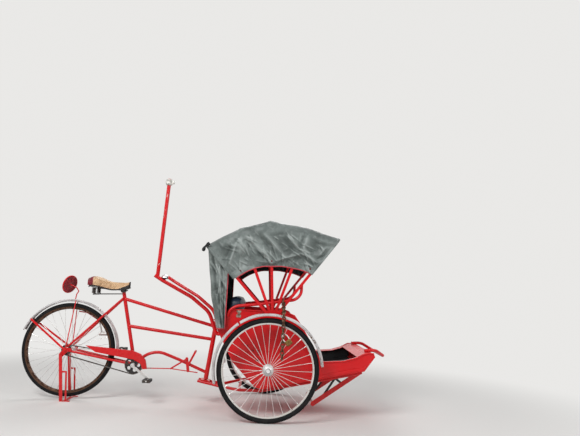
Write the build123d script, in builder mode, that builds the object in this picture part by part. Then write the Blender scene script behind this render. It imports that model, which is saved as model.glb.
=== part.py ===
from build123d import *
import os
from math import atan2, cos, degrees, hypot, radians, sin, tan

os.makedirs("parts", exist_ok=True)

# A cycle rickshaw with its passenger cab in front. Millimetres, +X forward, +Z up.
# Side views are drawn as (x, z) from the rear axle or, for the cab, from the front axle.

# Whole vehicle
wheelbase = 1545.0
half_track = 560.0
front_reach = 895.0
stand_lift = 16.0

# Wheels
wheel_r = 356.0
tyre_r = 19.0
tyre_h = 34.0
rim_r = wheel_r - tyre_h
rim_depth = 13.0
rim_w = 28.0
rim_fit = 0.3
spoke_r = 1.6
rear_spokes, front_spokes = 36, 32
rear_sweep, front_sweep = 22.0, 5.0
flange_r = 34.0
flange_y = 30.0
flange_t = 4.0
hub_r = 17.0
hub_half = 46.0
axle_fit = 0.08

# Places of the two axles
rear_x = wheel_r - (wheel_r + wheelbase + front_reach) / 2
rear_z = wheel_r + stand_lift
front_x = rear_x + wheelbase
front_z = wheel_r

# Steering head: a column that leans forward at its top
head_setback = 445.0
head_dx = wheelbase - head_setback
head_mid_z = 403.0
head_lean = 7.0
head_low_z = 194.0
head_high_z = 640.0
head_r = 17.5
spindle_r = 10.0
spindle_fit = 0.08
yoke_gap = 5.0
yoke_t = 8.0

# Rear frame
tube_r = 14.0
down_r = 12.0
seat_fit = 0.3
bb_x, bb_z = 515.0, 280.0
bb_r = 22.0
bb_half = 34.0
# the curved lower tube: its corners and its bend as shares of the run from the bracket to the head
down_run = head_dx - bb_x
down_bend = 0.282 * down_run
down_corners = [(0.149, 0.140), (0.316, 0.181), (0.586, 0.0855)]
seat_x, seat_z = 393.5, 793.0
seat_top = 34.0
post_len = 26.0
stay_r = 9.0
chain_stay_y = 26.0
seat_stay_y = 20.0
drop_y = 62.0
plate_t = 5.0
plate_y = drop_y + stay_r + 0.3
rear_axle_r = 5.0
rear_axle_half = 92.0

# Drive
crank_len = 165.0
crank_angle = -36.0
crank_y = 76.0
crank_t = 12.0
crank_axle_r = 8.0
ring_r = 64.0
crank_w = 18.0
cog_r = 34.0
ring_t = 4.0
chain_y = 42.0
chain_w = 8.0
chain_t = 8.0
chain_fit = 0.5
pedal_len = 90.0
pedal_gap = 8.0
pedal_pin_r = 6.0

# Stand
pivot_dx, pivot_dz = -25.0, -32.0
pivot_r = 6.0
leg_y = 96.0
leg_t = 6.0
foot_t = 5.0

# Cab
cab_half = 404.0
sheet_t = 4.0
front_axle_r = 12.5
stub_r = 7.0
seat_deck_z = 560.0
cushion_t = 95.0

# Hood
hood_half = cab_half + 39.0
canvas_t = 4.0
canvas_fit = 0.5
ridge_fit = 5.0
hood_x, hood_z = 17.0, 690.0
bow_w = 20.0
bow_t = 6.0
hood_corner = 70.0
# Each bow: its angle from level, how far the canvas ridge and the hem lie from the pivot
bows = [(133.4, 728, 395), (112.4, 716, 395), (94.0, 732, 386), (72.1, 726, 399), (53.2, 776, 431)]

# Mudguards
guard_gap = 19.0
guard_t = 2.0
rear_guard_half = 24.0
front_guard_half = 28.0


def rear_side(y=0.0):
    return Plane(origin=(rear_x, y, 0), x_dir=(1, 0, 0), z_dir=(0, -1, 0))


def cab_side(y=0.0):
    return Plane(origin=(front_x, y, 0), x_dir=(1, 0, 0), z_dir=(0, -1, 0))


def rear_at(x, z, y=0.0):
    return Vector(rear_x + x, y, z)


def cab_at(x, z, y=0.0):
    return Vector(front_x + x, y, z)


def head_at(z):
    # a point on the steering axis at height z
    return Vector(front_x - head_setback + (z - head_mid_z) * tan(radians(head_lean)), 0, z)


def rod(points, r, bend=0.0, mode=Mode.ADD):
    # a round bar that follows the points, its corners bent to the radius
    with BuildLine() as path:
        if bend:
            FilletPolyline(*points, radius=bend)
        else:
            Polyline(*points)
    with BuildSketch(Plane(origin=path.line @ 0, z_dir=path.line % 0)) as section:
        Circle(r)
    sweep(section.sketch, path=path.line, mode=mode)


def flat_bar(start, end, width, plane, thickness):
    # a flat bar with round ends between two points of a side view
    run = Vector(*end) - Vector(*start)
    middle = (Vector(*start) + Vector(*end)) * 0.5
    with BuildSketch(plane) as outline:
        with Locations((middle.X, middle.Y)):
            SlotOverall(run.length + width, width, rotation=degrees(atan2(run.Y, run.X)))
    extrude(outline.sketch, amount=thickness)


def sheet(points, thickness, width):
    # a bent sheet across the cab, its outer face on the points of the cab's side view
    with BuildSketch(cab_side(width / 2)) as band:
        with BuildLine():
            outer = Polyline(*points)
            offset(outer, amount=thickness, side=Side.LEFT, kind=Kind.INTERSECTION, closed=True)
        make_face()
    extrude(band.sketch, amount=width)


def skin(plane, half, low, high, corner, thickness):
    # one cross-section of cloth: an upside-down U between two heights, drawn in one fixed order
    inner = corner - thickness
    bend, inner_bend = corner * (1 - cos(radians(45))), inner * (1 - cos(radians(45))) + thickness
    with BuildSketch(plane) as section:
        with BuildLine():
            Line((-half, low), (-half, high - corner))
            ThreePointArc((-half, high - corner), (-half + bend, high - bend), (-half + corner, high))
            Line((-half + corner, high), (half - corner, high))
            ThreePointArc((half - corner, high), (half - bend, high - bend), (half, high - corner))
            Line((half, high - corner), (half, low))
            Line((half, low), (half - thickness, low))
            Line((half - thickness, low), (half - thickness, high - corner))
            ThreePointArc(
                (half - thickness, high - corner), (half - inner_bend, high - inner_bend),
                (half - corner, high - thickness),
            )
            Line((half - corner, high - thickness), (-half + corner, high - thickness))
            ThreePointArc(
                (-half + corner, high - thickness), (-half + inner_bend, high - inner_bend),
                (-half + thickness, high - corner),
            )
            Line((-half + thickness, high - corner), (-half + thickness, low))
            Line((-half + thickness, low), (-half, low))
        make_face()
    return section.sketch


def save(piece, name):
    piece.part.label = name
    export_step(piece.part, f"parts/{name}.step")


# Wheels: hub x, y, z, hub bore radius, spoke lean, spoke count and the name that each piece ends with
wheels = [
    (rear_x, 0.0, rear_z, rear_axle_r, rear_sweep, rear_spokes, "rear"),
    (front_x, -half_track, front_z, stub_r, front_sweep, front_spokes, "right"),
    (front_x, half_track, front_z, stub_r, front_sweep, front_spokes, "left"),
]
tyre_mid_r = wheel_r - tyre_r

for wheel_x, wheel_y, wheel_z, bore_r, spoke_sweep, spoke_count, place in wheels:
    centre = Plane(origin=(wheel_x, wheel_y, wheel_z), x_dir=(1, 0, 0), z_dir=(0, 0, 1))
    spin = Axis((wheel_x, wheel_y, wheel_z), (0, 1, 0))

    with BuildPart() as tyre:
        with BuildSketch(centre):
            with Locations((tyre_mid_r, 0)):
                Circle(tyre_r)
            Rectangle(rim_r + rim_fit, 4 * tyre_r, align=(Align.MIN, Align.CENTER), mode=Mode.SUBTRACT)
        revolve(axis=spin)
    save(tyre, f"tyre_{place}")

    # the rim is a shallow box with rounded walls and a well between them
    with BuildPart() as rim:
        with BuildSketch(centre):
            with BuildLine():
                Polyline(
                    (rim_r, -rim_w / 2),
                    (rim_r, rim_w / 2),
                    (rim_r - rim_depth / 2, rim_w / 2),
                    (rim_r - rim_depth, rim_w / 5),
                    (rim_r - rim_depth, -rim_w / 5),
                    (rim_r - rim_depth / 2, -rim_w / 2),
                    close=True,
                )
            make_face()
        revolve(axis=spin)
    save(rim, f"rim_{place}")

    with BuildPart() as hub:
        with BuildSketch(centre):
            Rectangle(hub_r, 2 * hub_half, align=(Align.MIN, Align.CENTER))
            with Locations((0, flange_y), (0, -flange_y)):
                Rectangle(flange_r, flange_t, align=(Align.MIN, Align.CENTER))
            if place == "rear":
                with Locations((0, -chain_y)):
                    Rectangle(cog_r, ring_t, align=(Align.MIN, Align.CENTER))
            Rectangle(bore_r + axle_fit, 4 * hub_half, align=(Align.MIN, Align.CENTER), mode=Mode.SUBTRACT)
        revolve(axis=spin)
    save(hub, f"hub_{place}")

    # each spoke leans round the hub, one way on one flange and the other way on the other
    with BuildPart() as spokes:
        for number in range(spoke_count):
            side = 1 if number % 2 else -1
            start_angle = radians(360 / spoke_count * number - side * spoke_sweep)
            end_angle = radians(360 / spoke_count * number)
            start_r = flange_r + 3 * rim_fit
            end_r = rim_r - rim_depth - rim_fit
            start = Vector(
                wheel_x + start_r * cos(start_angle),
                wheel_y + side * flange_y,
                wheel_z + start_r * sin(start_angle),
            )
            end = Vector(
                wheel_x + end_r * cos(end_angle),
                wheel_y + side * spoke_r * 2,
                wheel_z + end_r * sin(end_angle),
            )
            rod([start, end], spoke_r)
    save(spokes, f"spokes_{place}")

# Steering column
with BuildPart() as head_tube:
    rod([head_at(head_low_z), head_at(head_high_z)], head_r)
    rod([head_at(head_low_z), head_at(head_high_z)], spindle_r + spindle_fit, mode=Mode.SUBTRACT)
save(head_tube, "head_tube")

# Seat tube with the bottom bracket shell
post_dir = Vector(seat_x - bb_x, 0, seat_z - bb_z).normalized()
tube_top = rear_at(seat_x, seat_z) + post_dir * seat_top
post_top = tube_top + post_dir * post_len
with BuildPart() as seat_tube:
    rod([rear_at(bb_x, bb_z), tube_top], tube_r)
    rod([tube_top - post_dir * post_len, post_top], tube_r - 2)
    rod([rear_at(bb_x, bb_z, bb_half), rear_at(bb_x, bb_z, -bb_half)], bb_r)
    axle_r = crank_axle_r + axle_fit
    rod([rear_at(bb_x, bb_z, bb_half), rear_at(bb_x, bb_z, -bb_half)], axle_r, mode=Mode.SUBTRACT)
save(seat_tube, "seat_tube")

# Tubes from the seat tube to the head: start x and z, the height where each meets the head
for start_x, start_z, meet_z, name in [(396.6, 780, 597, "top_tube"), (446, 571, 497, "middle_tube")]:
    with BuildPart() as tube:
        rod([rear_at(start_x, start_z), head_at(meet_z)], tube_r - 1)
        add(seat_tube.part, mode=Mode.SUBTRACT)
        rod([head_at(head_low_z), head_at(head_high_z)], head_r, mode=Mode.SUBTRACT)
    save(tube, name)

with BuildPart() as down_tube:
    corners = [rear_at(bb_x + x * down_run, bb_z + z * down_run) for x, z in down_corners]
    rod([rear_at(bb_x, bb_z), *corners, head_at(240)], down_r, bend=down_bend)
    rod([rear_at(bb_x, bb_z, bb_half), rear_at(bb_x, bb_z, -bb_half)], bb_r, mode=Mode.SUBTRACT)
    rod([head_at(head_low_z), head_at(head_high_z)], head_r, mode=Mode.SUBTRACT)
    add(seat_tube.part, mode=Mode.SUBTRACT)
save(down_tube, "down_tube")

with BuildPart() as chain_stays:
    rod([rear_at(bb_x - 18, bb_z + 3, -chain_stay_y), rear_at(16, rear_z - 3, -drop_y)], stay_r)
    rod([rear_at(bb_x - 60, bb_z + 10, 0), rear_at(bb_x - 60, bb_z + 10, -chain_stay_y - 2)], stay_r - 2)
    mirror(about=Plane.XZ)
    add(seat_tube.part, mode=Mode.SUBTRACT)
save(chain_stays, "chain_stays")

stay_top, stay_low = rear_at(seat_x - 4, seat_z - 8, seat_stay_y), rear_at(8, rear_z + 24, drop_y)
with BuildPart() as seat_stays:
    rod([stay_top, stay_low], stay_r - 1)
    mirror(about=Plane.XZ)
    add(seat_tube.part, mode=Mode.SUBTRACT)
save(seat_stays, "seat_stays")

# Axle plates with the rear axle, its nuts and the stand's pivot pins
with BuildPart() as axle_plates:
    outer = rear_side(-plate_y)
    flat_bar((0, rear_z), (pivot_dx, rear_z + pivot_dz), 36, outer, plate_t)
    flat_bar((-6, rear_z + 2), (34, rear_z + 6), 26, outer, plate_t)
    rod([rear_at(0, rear_z, -plate_y - plate_t), rear_at(0, rear_z, -rear_axle_half + 6)], 10)
    rod(
        [
            rear_at(pivot_dx, rear_z + pivot_dz, -plate_y - plate_t),
            rear_at(pivot_dx, rear_z + pivot_dz, -leg_y - leg_t - 4),
        ],
        pivot_r,
    )
    mirror(about=Plane.XZ)
    rod([rear_at(0, rear_z, -rear_axle_half), rear_at(0, rear_z, rear_axle_half)], rear_axle_r)
save(axle_plates, "axle_plates")

# Rear mudguard: a curved strip over the wheel
guard_r = wheel_r + guard_gap
guard_crown = 0.42


def guard(centre_x, centre_y, centre_z, half, first, last):
    # a strip of curved section about a wheel, from the first angle to the last
    start = Plane(
        origin=(centre_x, centre_y, centre_z),
        x_dir=(cos(radians(first)), 0, sin(radians(first))),
        z_dir=(-sin(radians(first)), 0, cos(radians(first))),
    )
    with BuildSketch(start) as strip:
        with BuildLine():
            outer_r = guard_r + guard_t
            inner = ThreePointArc((guard_r, -half), (guard_r + half * guard_crown, 0), (guard_r, half))
            Line(inner @ 1, (outer_r, half))
            ThreePointArc((outer_r, half), (outer_r + half * guard_crown, 0), (outer_r, -half))
            Line((outer_r, -half), inner @ 0)
        make_face()
    axle = Axis((centre_x, centre_y, centre_z), (0, -1, 0))
    revolve(strip.sketch, axis=axle, revolution_arc=last - first)


with BuildPart() as rear_mudguard:
    guard(rear_x, 0.0, rear_z, rear_guard_half, 2, 159)
save(rear_mudguard, "mudguard_rear")

# Straps from the axle to the mudguard's edges, one pair behind and one up to the lamp, and a curved brace
strap_t = 3.0
ring_r_out, ring_r_in = 21.0, 10.3
ring_y = plate_y + plate_t + seat_fit
straps = [(144, 15), (86, 7)]
brace = [(42, 664), (105, 657), (206, 597)]
with BuildPart() as mudguard_stays:
    rod([rear_at(0, rear_z, -ring_y), rear_at(0, rear_z, -ring_y - strap_t)], ring_r_out)
    for angle, width in straps:
        along = Vector(cos(radians(angle)), 0, sin(radians(angle)))
        start = rear_at(0, rear_z, -ring_y - strap_t / 2) + along * (ring_r_out - strap_t / 2)
        end = rear_at(0, rear_z, -rear_guard_half - strap_t / 2) + along * guard_r
        run = end - start
        with BuildSketch(Plane(origin=start, x_dir=run.cross(Vector(0, 1, 0)), z_dir=run)) as strap:
            Rectangle(width, strap_t)
        extrude(strap.sketch, amount=run.length)
        rod([end - along * 6, end + along * 6], strap_t * 0.8)
    mirror(about=Plane.XZ)
    axle_line = [rear_at(0, rear_z, -rear_axle_half), rear_at(0, rear_z, rear_axle_half)]
    rod(axle_line, ring_r_in, mode=Mode.SUBTRACT)
    rod([rear_at(x, z, 34 + x / 30) for x, z in brace], 4.5, bend=60)
    add(rear_mudguard.part, mode=Mode.SUBTRACT)
    add(seat_stays.part, mode=Mode.SUBTRACT)
save(mudguard_stays, "mudguard_stays")

# Round reflector on a bent wire above the mudguard
guard_top_z = rear_z + guard_r + rear_guard_half * guard_crown + guard_t
lamp_x, lamp_z = -37.0, guard_top_z + 112.9
lamp_r = 72.0
lamp_t = 14.0
lamp_turn, lamp_drop = 27.0, 14.0
lamp_axis = Vector(
    cos(radians(lamp_turn)) * cos(radians(lamp_drop)),
    -sin(radians(lamp_turn)) * cos(radians(lamp_drop)),
    -sin(radians(lamp_drop)),
)
lamp_face = Plane(origin=(rear_x + lamp_x, 0, lamp_z), z_dir=lamp_axis)
with BuildPart() as reflector:
    with BuildSketch(lamp_face):
        Circle(lamp_r)
    extrude(amount=-lamp_t)
    fillet(reflector.edges().group_by(SortBy.LENGTH)[-1], 5)
save(reflector, "reflector")
with BuildPart() as reflector_stay:
    rod(
        [
            rear_at(14, guard_top_z + seat_fit), rear_at(20, guard_top_z + 41), rear_at(34, guard_top_z + 63),
            rear_at(14, guard_top_z + 91), rear_at(lamp_x, lamp_z) + lamp_axis * -2,
        ],
        4,
        bend=9,
    )
    add(reflector.part, mode=Mode.SUBTRACT)
save(reflector_stay, "reflector_stay")

# Saddle, its springs, and the rails that are clamped on the post
saddle_z = 860.0
clamp_r = 15.0
saddle_rear, saddle_nose = 118.0, 432.0
with BuildPart() as saddle_frame:
    clamp = post_top - post_dir * 10
    rod([clamp + Vector(0, -34, 0), clamp + Vector(0, 34, 0)], clamp_r)
    rod([rear_at(170, saddle_z - 5, -26), rear_at(412, saddle_z - 15, -12)], 4)
    rod([rear_at(170, saddle_z - 5, 26), rear_at(412, saddle_z - 15, 12)], 4)
    rod([rear_at(170, saddle_z - 53, -75), rear_at(170, saddle_z - 53, 75)], 5.5)
    rod([rear_at(170, saddle_z - 53, 0), post_top - post_dir * 34], 4)
    add(seat_tube.part, mode=Mode.SUBTRACT)
save(saddle_frame, "saddle_frame")
with BuildPart() as saddle_springs:
    for spring_y in (-66, 66):
        rod([rear_at(170, saddle_z - 47.5, spring_y), rear_at(170, saddle_z - 0.3, spring_y)], 17)
save(saddle_springs, "saddle_springs")
with BuildPart() as saddle:
    with BuildSketch(Plane(origin=(rear_x, 0, saddle_z))):
        with BuildLine():
            Polyline((saddle_rear, -88), (saddle_rear + 70, -104), (300, -42), (saddle_nose, -22))
            Line((saddle_nose, -22), (saddle_nose, 22))
            Polyline((saddle_nose, 22), (300, 42), (saddle_rear + 70, 104), (saddle_rear, 88))
            Line((saddle_rear, 88), (saddle_rear, -88))
        make_face()
    extrude(amount=95)
    with BuildSketch(rear_side(120)):
        with BuildLine():
            Polyline(
                (saddle_rear - 5, saddle_z + 84),
                (saddle_rear + 40, saddle_z + 88),
                (300, saddle_z + 50),
                (saddle_nose - 30, saddle_z + 44),
                (saddle_nose + 5, saddle_z + 46),
                (saddle_nose + 5, saddle_z + 100),
                (saddle_rear - 5, saddle_z + 100),
                close=True,
            )
        make_face()
    extrude(amount=240, mode=Mode.SUBTRACT)
save(saddle, "saddle")

# Chain case: a plate beside the upper run with a lip over it
case_y = chain_y + chain_w / 2 + 8
case_top = [(143, 412), (505, 388), (566, 366), (606, 322), (622, 256)]
case_low = [(588, 252), (572, 292), (516, 322), (221, 366)]
lip_t = 3.0
with BuildPart() as chain_case:
    with BuildSketch(rear_side(-case_y)):
        with BuildLine():
            Polyline(*case_top, *case_low, close=True)
        make_face()
    extrude(amount=2.5)
    with BuildSketch(rear_side(-case_y + 18)):
        with BuildLine():
            under = [(x * 0.995 + 1, z - lip_t) for x, z in reversed(case_top)]
            Polyline(*case_top, *under, close=True)
        make_face()
    extrude(amount=18)
    with BuildSketch(rear_side(-tube_r)):
        with Locations((492, 374)):
            Rectangle(16, 5)
    extrude(amount=case_y - tube_r)
    add(seat_tube.part, mode=Mode.SUBTRACT)
save(chain_case, "chain_case")

# Chain: one plain band round the chainring and the cog
chain_plane = rear_side(-chain_y + chain_w / 2)
with BuildPart() as chain:
    for extra, mode in [(chain_fit + chain_t, Mode.ADD), (chain_fit, Mode.SUBTRACT)]:
        with BuildSketch(chain_plane):
            with Locations((bb_x, bb_z)):
                Circle(ring_r + extra)
            with Locations((0, rear_z)):
                Circle(cog_r + extra)
            make_hull()
        extrude(amount=chain_w, mode=mode)
save(chain, "chain")

# Crankset: chainring, axle, both arms and the pedal pins
arm = Vector(cos(radians(crank_angle)), 0, sin(radians(crank_angle))) * crank_len
with BuildPart() as crankset:
    with BuildSketch(rear_side(-chain_y + ring_t / 2)):
        with Locations((bb_x, bb_z)):
            Circle(ring_r)
            with PolarLocations(ring_r * 0.62, 5):
                Circle(ring_r * 0.2, mode=Mode.SUBTRACT)
    extrude(amount=ring_t)
    rod([rear_at(bb_x, bb_z, -chain_y), rear_at(bb_x, bb_z, -crank_y)], 16)
    rod([rear_at(bb_x, bb_z, -crank_y - crank_t), rear_at(bb_x, bb_z, crank_y + crank_t)], crank_axle_r)
    for side in (-1, 1):
        end = (bb_x - side * arm.X, bb_z - side * arm.Z)
        plane = rear_side(-crank_y if side < 0 else crank_y + crank_t)
        flat_bar((bb_x, bb_z), end, crank_w, plane, crank_t)
        pin_y = side * (crank_y + crank_t)
        rod([rear_at(*end, pin_y), rear_at(*end, pin_y + side * (pedal_gap + pedal_len))], pedal_pin_r)
save(crankset, "crankset")

for side, name in [(-1, "pedal_right"), (1, "pedal_left")]:
    end = (bb_x - side * arm.X, bb_z - side * arm.Z)
    inner_y = side * (crank_y + crank_t + pedal_gap)
    with BuildPart() as pedal:
        with BuildSketch(rear_side(inner_y if side < 0 else inner_y + pedal_len)):
            with Locations(end):
                RectangleRounded(62, 24, 5)
                Circle(pedal_pin_r + axle_fit, mode=Mode.SUBTRACT)
        extrude(amount=pedal_len)
    save(pedal, name)

# Stand: an open pair of legs each side and a foot bar under the wheel
pivot = (pivot_dx, rear_z + pivot_dz)
foot_len, foot_w = 76.0, 22.0
with BuildPart() as stand:
    plane = rear_side(-leg_y)
    flat_bar(pivot, (10, foot_t + 8), 24, plane, leg_t)
    flat_bar((-12, 216), (30, 216), 12, plane, leg_t)
    flat_bar((30, 216), (46, foot_t + 4), 12, plane, leg_t)
    with BuildSketch(Plane(origin=(rear_x + foot_len / 2, -leg_y - leg_t / 2, 0))) as foot:
        RectangleRounded(foot_len, foot_w, 4)
    extrude(foot.sketch, amount=foot_t)
    mirror(about=Plane.XZ)
    with BuildSketch(Plane(origin=(rear_x + foot_len / 2, 0, 0))) as tie:
        Rectangle(foot_w, 2 * leg_y)
    extrude(tie.sketch, amount=foot_t)
    rod([rear_at(*pivot, -leg_y - 20), rear_at(*pivot, leg_y + 20)], pivot_r + axle_fit, mode=Mode.SUBTRACT)
save(stand, "rear_stand")

# Bottle dynamo on the left seat stay, its roller beside the tyre
bottle_r, cap_r = 15.0, 9.0
held = stay_top + (stay_low - stay_top) * 0.4862
with BuildPart() as dynamo:
    rod([held + Vector(6, 11.6, -99), held + Vector(68, 5.6, -97)], bottle_r)
    rod([held + Vector(67, 5.6, -97), held + Vector(108, 1.6, -95)], cap_r)
    rod([held + Vector(28, 8.6, -97), held], 6)
    add(seat_stays.part, mode=Mode.SUBTRACT)
save(dynamo, "dynamo")

# Foot brake: a plate and pedal beside the down tube, with a thin rod forward
brake_y = down_r + seat_fit
brake_t = 6.0
brake_rod_y = brake_y + brake_t + 4.5
with BuildPart() as foot_brake:
    flat_bar((head_dx - 182, 342), (head_dx - 166, 250), 22, rear_side(-brake_y), brake_t)
    flat_bar((head_dx - 164, 300), (head_dx - 115, 404), 16, rear_side(-brake_y - brake_t), brake_t)
    flat_bar((head_dx - 182, 340), (head_dx - 300, 262), 12, rear_side(-brake_y - brake_t), brake_t)
    rod([rear_at(head_dx - 115, 404, -brake_y - brake_t), rear_at(head_dx - 115, 404, -brake_y - 70)], 7)
    rod([rear_at(head_dx - 300, 262, -brake_rod_y), rear_at(bb_x + 105, 258, -brake_rod_y)], 4)
    rod([rear_at(head_dx - 300, 262, -brake_rod_y), rear_at(head_dx - 90, 240, -brake_rod_y)], 4)
save(foot_brake, "foot_brake")

# Cab side panels, drawn as one outline
panel_top = [
    (-319, 722), (-278, 752), (116, 748), (175, 727), (222, 665),
    (386, 405), (552, 418), (640, 445), (700, 478), (768, 482),
]
panel_low = [
    (776, 462), (700, 357), (378, 287), (-30, 201), (-80, 212), (-253, 384), (-334, 533), (-374, 600),
]
for side, name in [(-1, "side_panel_right"), (1, "side_panel_left")]:
    with BuildPart() as side_panel:
        with BuildSketch(cab_side(side * cab_half if side > 0 else -cab_half + sheet_t)):
            with BuildLine():
                Polyline(*panel_top, *panel_low, close=True)
            make_face()
            with Locations((0, front_z)):
                Circle(front_axle_r + 0.3, mode=Mode.SUBTRACT)
        extrude(amount=sheet_t)
    save(side_panel, name)

# Tub: back, floor and nose in one bent sheet between the panels
inner_half = cab_half - sheet_t - 0.3
with BuildPart() as tub:
    sheet([panel_top[0], *reversed(panel_low)], sheet_t, 2 * inner_half)
save(tub, "tub")

# Seat deck and the riser under its front edge
with BuildPart() as seat_deck:
    with BuildSketch(cab_side(inner_half)):
        with BuildLine():
            Polyline(
                (-338, seat_deck_z), (230, seat_deck_z), (230, 264), (218, 262),
                (218, seat_deck_z - 12), (-336, seat_deck_z - 12), close=True,
            )
        make_face()
    extrude(amount=2 * inner_half)
    rod([cab_at(0, front_z, -cab_half), cab_at(0, front_z, cab_half)], front_axle_r + 3, mode=Mode.SUBTRACT)
save(seat_deck, "seat_deck")

with BuildPart() as front_axle:
    beam_y, stub_y = half_track - hub_half - 2, half_track + hub_half + 12
    rod([cab_at(0, front_z, -beam_y), cab_at(0, front_z, beam_y)], front_axle_r)
    rod([cab_at(0, front_z, -stub_y), cab_at(0, front_z, stub_y)], stub_r)
    for side in (-1, 1):
        rod(
            [
                cab_at(0, front_z, side * (half_track + hub_half + 2)),
                cab_at(0, front_z, side * (half_track + hub_half + 12)),
            ],
            14,
        )
save(front_axle, "front_axle")

# Nose cover over the end of the footwell, and the loop bar in front of it
with BuildPart() as front_board:
    with BuildSketch(cab_side(inner_half)):
        with BuildLine():
            Polyline((650, 452), (700, 479), (762, 483), (762, 477), (702, 473), (652, 446), close=True)
        make_face()
    extrude(amount=2 * inner_half)
save(front_board, "front_board")
with BuildPart() as loop_bar:
    loop_r = 12.0
    nose_x = front_reach - loop_r
    rod(
        [
            cab_at(716, 492.6, -300), cab_at(800, 498, -300), cab_at(nose_x, 450, -190),
            cab_at(nose_x, 450, 190), cab_at(800, 498, 300), cab_at(716, 492.6, 300),
        ],
        loop_r,
        bend=60,
    )
save(loop_bar, "loop_bar")

# Chassis rails with the steering yoke
rail_r = 11.0
rail_y = 330.0
crosses = [(-505, 177, 44), (-200, 160, 240), (378, 264, rail_y), (519, 295, rail_y), (690, 333, rail_y)]
floor_x, floor_z, floor_slope = -30.0, 201.0, 0.2137
low_yoke = head_at(head_low_z - yoke_gap)
high_yoke = head_at(head_high_z + yoke_gap)
with BuildPart() as chassis:
    rod(
        [
            cab_at(-529, 182, -40), cab_at(-340, 150, -70), cab_at(-200, 160, -240),
            cab_at(-40, 176, -rail_y), cab_at(378, 264, -rail_y), cab_at(690, 333, -rail_y),
        ],
        rail_r,
        bend=80,
    )
    mirror(about=Plane.XZ)
    for cross_x, cross_z, cross_y in crosses:
        rod([cab_at(cross_x, cross_z, -cross_y), cab_at(cross_x, cross_z, cross_y)], rail_r - 1)
    with BuildSketch(Plane(origin=low_yoke, z_dir=(head_at(1) - head_at(0)).normalized())):
        Circle(26)
        Rectangle(70, 96)
    extrude(amount=-yoke_t)
    rod([low_yoke, high_yoke], spindle_r)
    with BuildSketch(Plane(origin=high_yoke, z_dir=(head_at(1) - head_at(0)).normalized())):
        Circle(26)
        Rectangle(62, 40, align=(Align.MIN, Align.CENTER))
    extrude(amount=yoke_t)
    for foot_x in (0, 170, 360, 540, 660):
        foot_z = floor_z + (foot_x - floor_x) * floor_slope
        for foot_y in (-rail_y, rail_y):
            rod([cab_at(foot_x, foot_z - 25, foot_y), cab_at(foot_x, foot_z - 4, foot_y)], 6)
    add(tub.part, mode=Mode.SUBTRACT)
save(chassis, "chassis")

# Skid under the nose: two flat bars with a foot bar across, and the braces that carry them
skid_y = 200.0
skid_t = 6.0
brace_low, brace_high = (424, 121), (519, 268)
with BuildPart() as skid:
    for y in (-skid_y, skid_y):
        flat_bar((356, 76), (694, 312), 34, cab_side(y + skid_t / 2), skid_t)
    rod([cab_at(356, 76, -skid_y), cab_at(356, 76, skid_y)], 8)
    add(tub.part, mode=Mode.SUBTRACT)
    rod([cab_at(690, 333, -rail_y), cab_at(690, 333, rail_y)], rail_r - 1 + seat_fit, mode=Mode.SUBTRACT)
save(skid, "skid")
with BuildPart() as skid_braces:
    for y in (-skid_y, skid_y):
        brace_y = y - skid_t / 2 - seat_fit if y > 0 else y + skid_t * 1.5 + seat_fit
        flat_bar(brace_low, brace_high, 16, cab_side(brace_y), skid_t)
        flat_bar((575, 228), brace_high, 16, cab_side(brace_y), skid_t)
    rod([cab_at(519, 270, -skid_y - skid_t), cab_at(519, 270, skid_y + skid_t)], 8)
    add(skid.part, mode=Mode.SUBTRACT)
    add(chassis.part, mode=Mode.SUBTRACT)
save(skid_braces, "skid_braces")

# Armrests on both sides, from the panel's rear corner to the front bow
arm_r = 11.0
arm_y = cab_half + arm_r + 0.3
with BuildPart() as armrests:
    rod(
        [
            cab_at(-310, 700, -arm_y), cab_at(-306, 740, -arm_y), cab_at(-250, 778, -arm_y),
            cab_at(-80, 800, -arm_y), cab_at(170, 842, -arm_y), cab_at(217, 880, -arm_y),
            cab_at(217, 955, -arm_y),
        ],
        arm_r,
        bend=72,
    )
    mirror(about=Plane.XZ)
save(armrests, "armrests")


def bow_plane(angle):
    # the plane of one bow: local x runs across the cab, local y away from the pivot
    return Plane(
        origin=cab_at(hood_x, hood_z),
        x_dir=(0, 1, 0),
        z_dir=(sin(radians(angle)), 0, -cos(radians(angle))),
    )


bow_half = hood_half - canvas_t - canvas_fit
bow_start = 66.0
with BuildPart() as hood_bows:
    for angle, ridge, hem in bows:
        top = ridge - canvas_t - ridge_fit
        hoop = skin(bow_plane(angle), bow_half, bow_start, top, hood_corner, bow_t)
        extrude(hoop, amount=bow_w / 2, both=True)
    for y in (-bow_half + bow_t, bow_half):
        with BuildSketch(cab_side(y)):
            with Locations((hood_x, hood_z)):
                Circle(bow_start + 8)
        extrude(amount=bow_t)
    for side in (-1, 1):
        rod(
            [
                cab_at(hood_x, hood_z, side * (cab_half + 0.3)),
                cab_at(hood_x, hood_z, side * (bow_half - bow_t)),
            ],
            24,
        )
save(hood_bows, "hood_bows")

# Hood canvas: one skin over the bows, open in front and below
with BuildPart() as hood_canvas:
    sections = [
        skin(bow_plane(angle), hood_half, hem, ridge, hood_corner + canvas_t, canvas_t)
        for angle, ridge, hem in bows
    ]
    for first, second in zip(sections, sections[1:]):
        loft([first, second], ruled=True)
save(hood_canvas, "hood_canvas")

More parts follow.
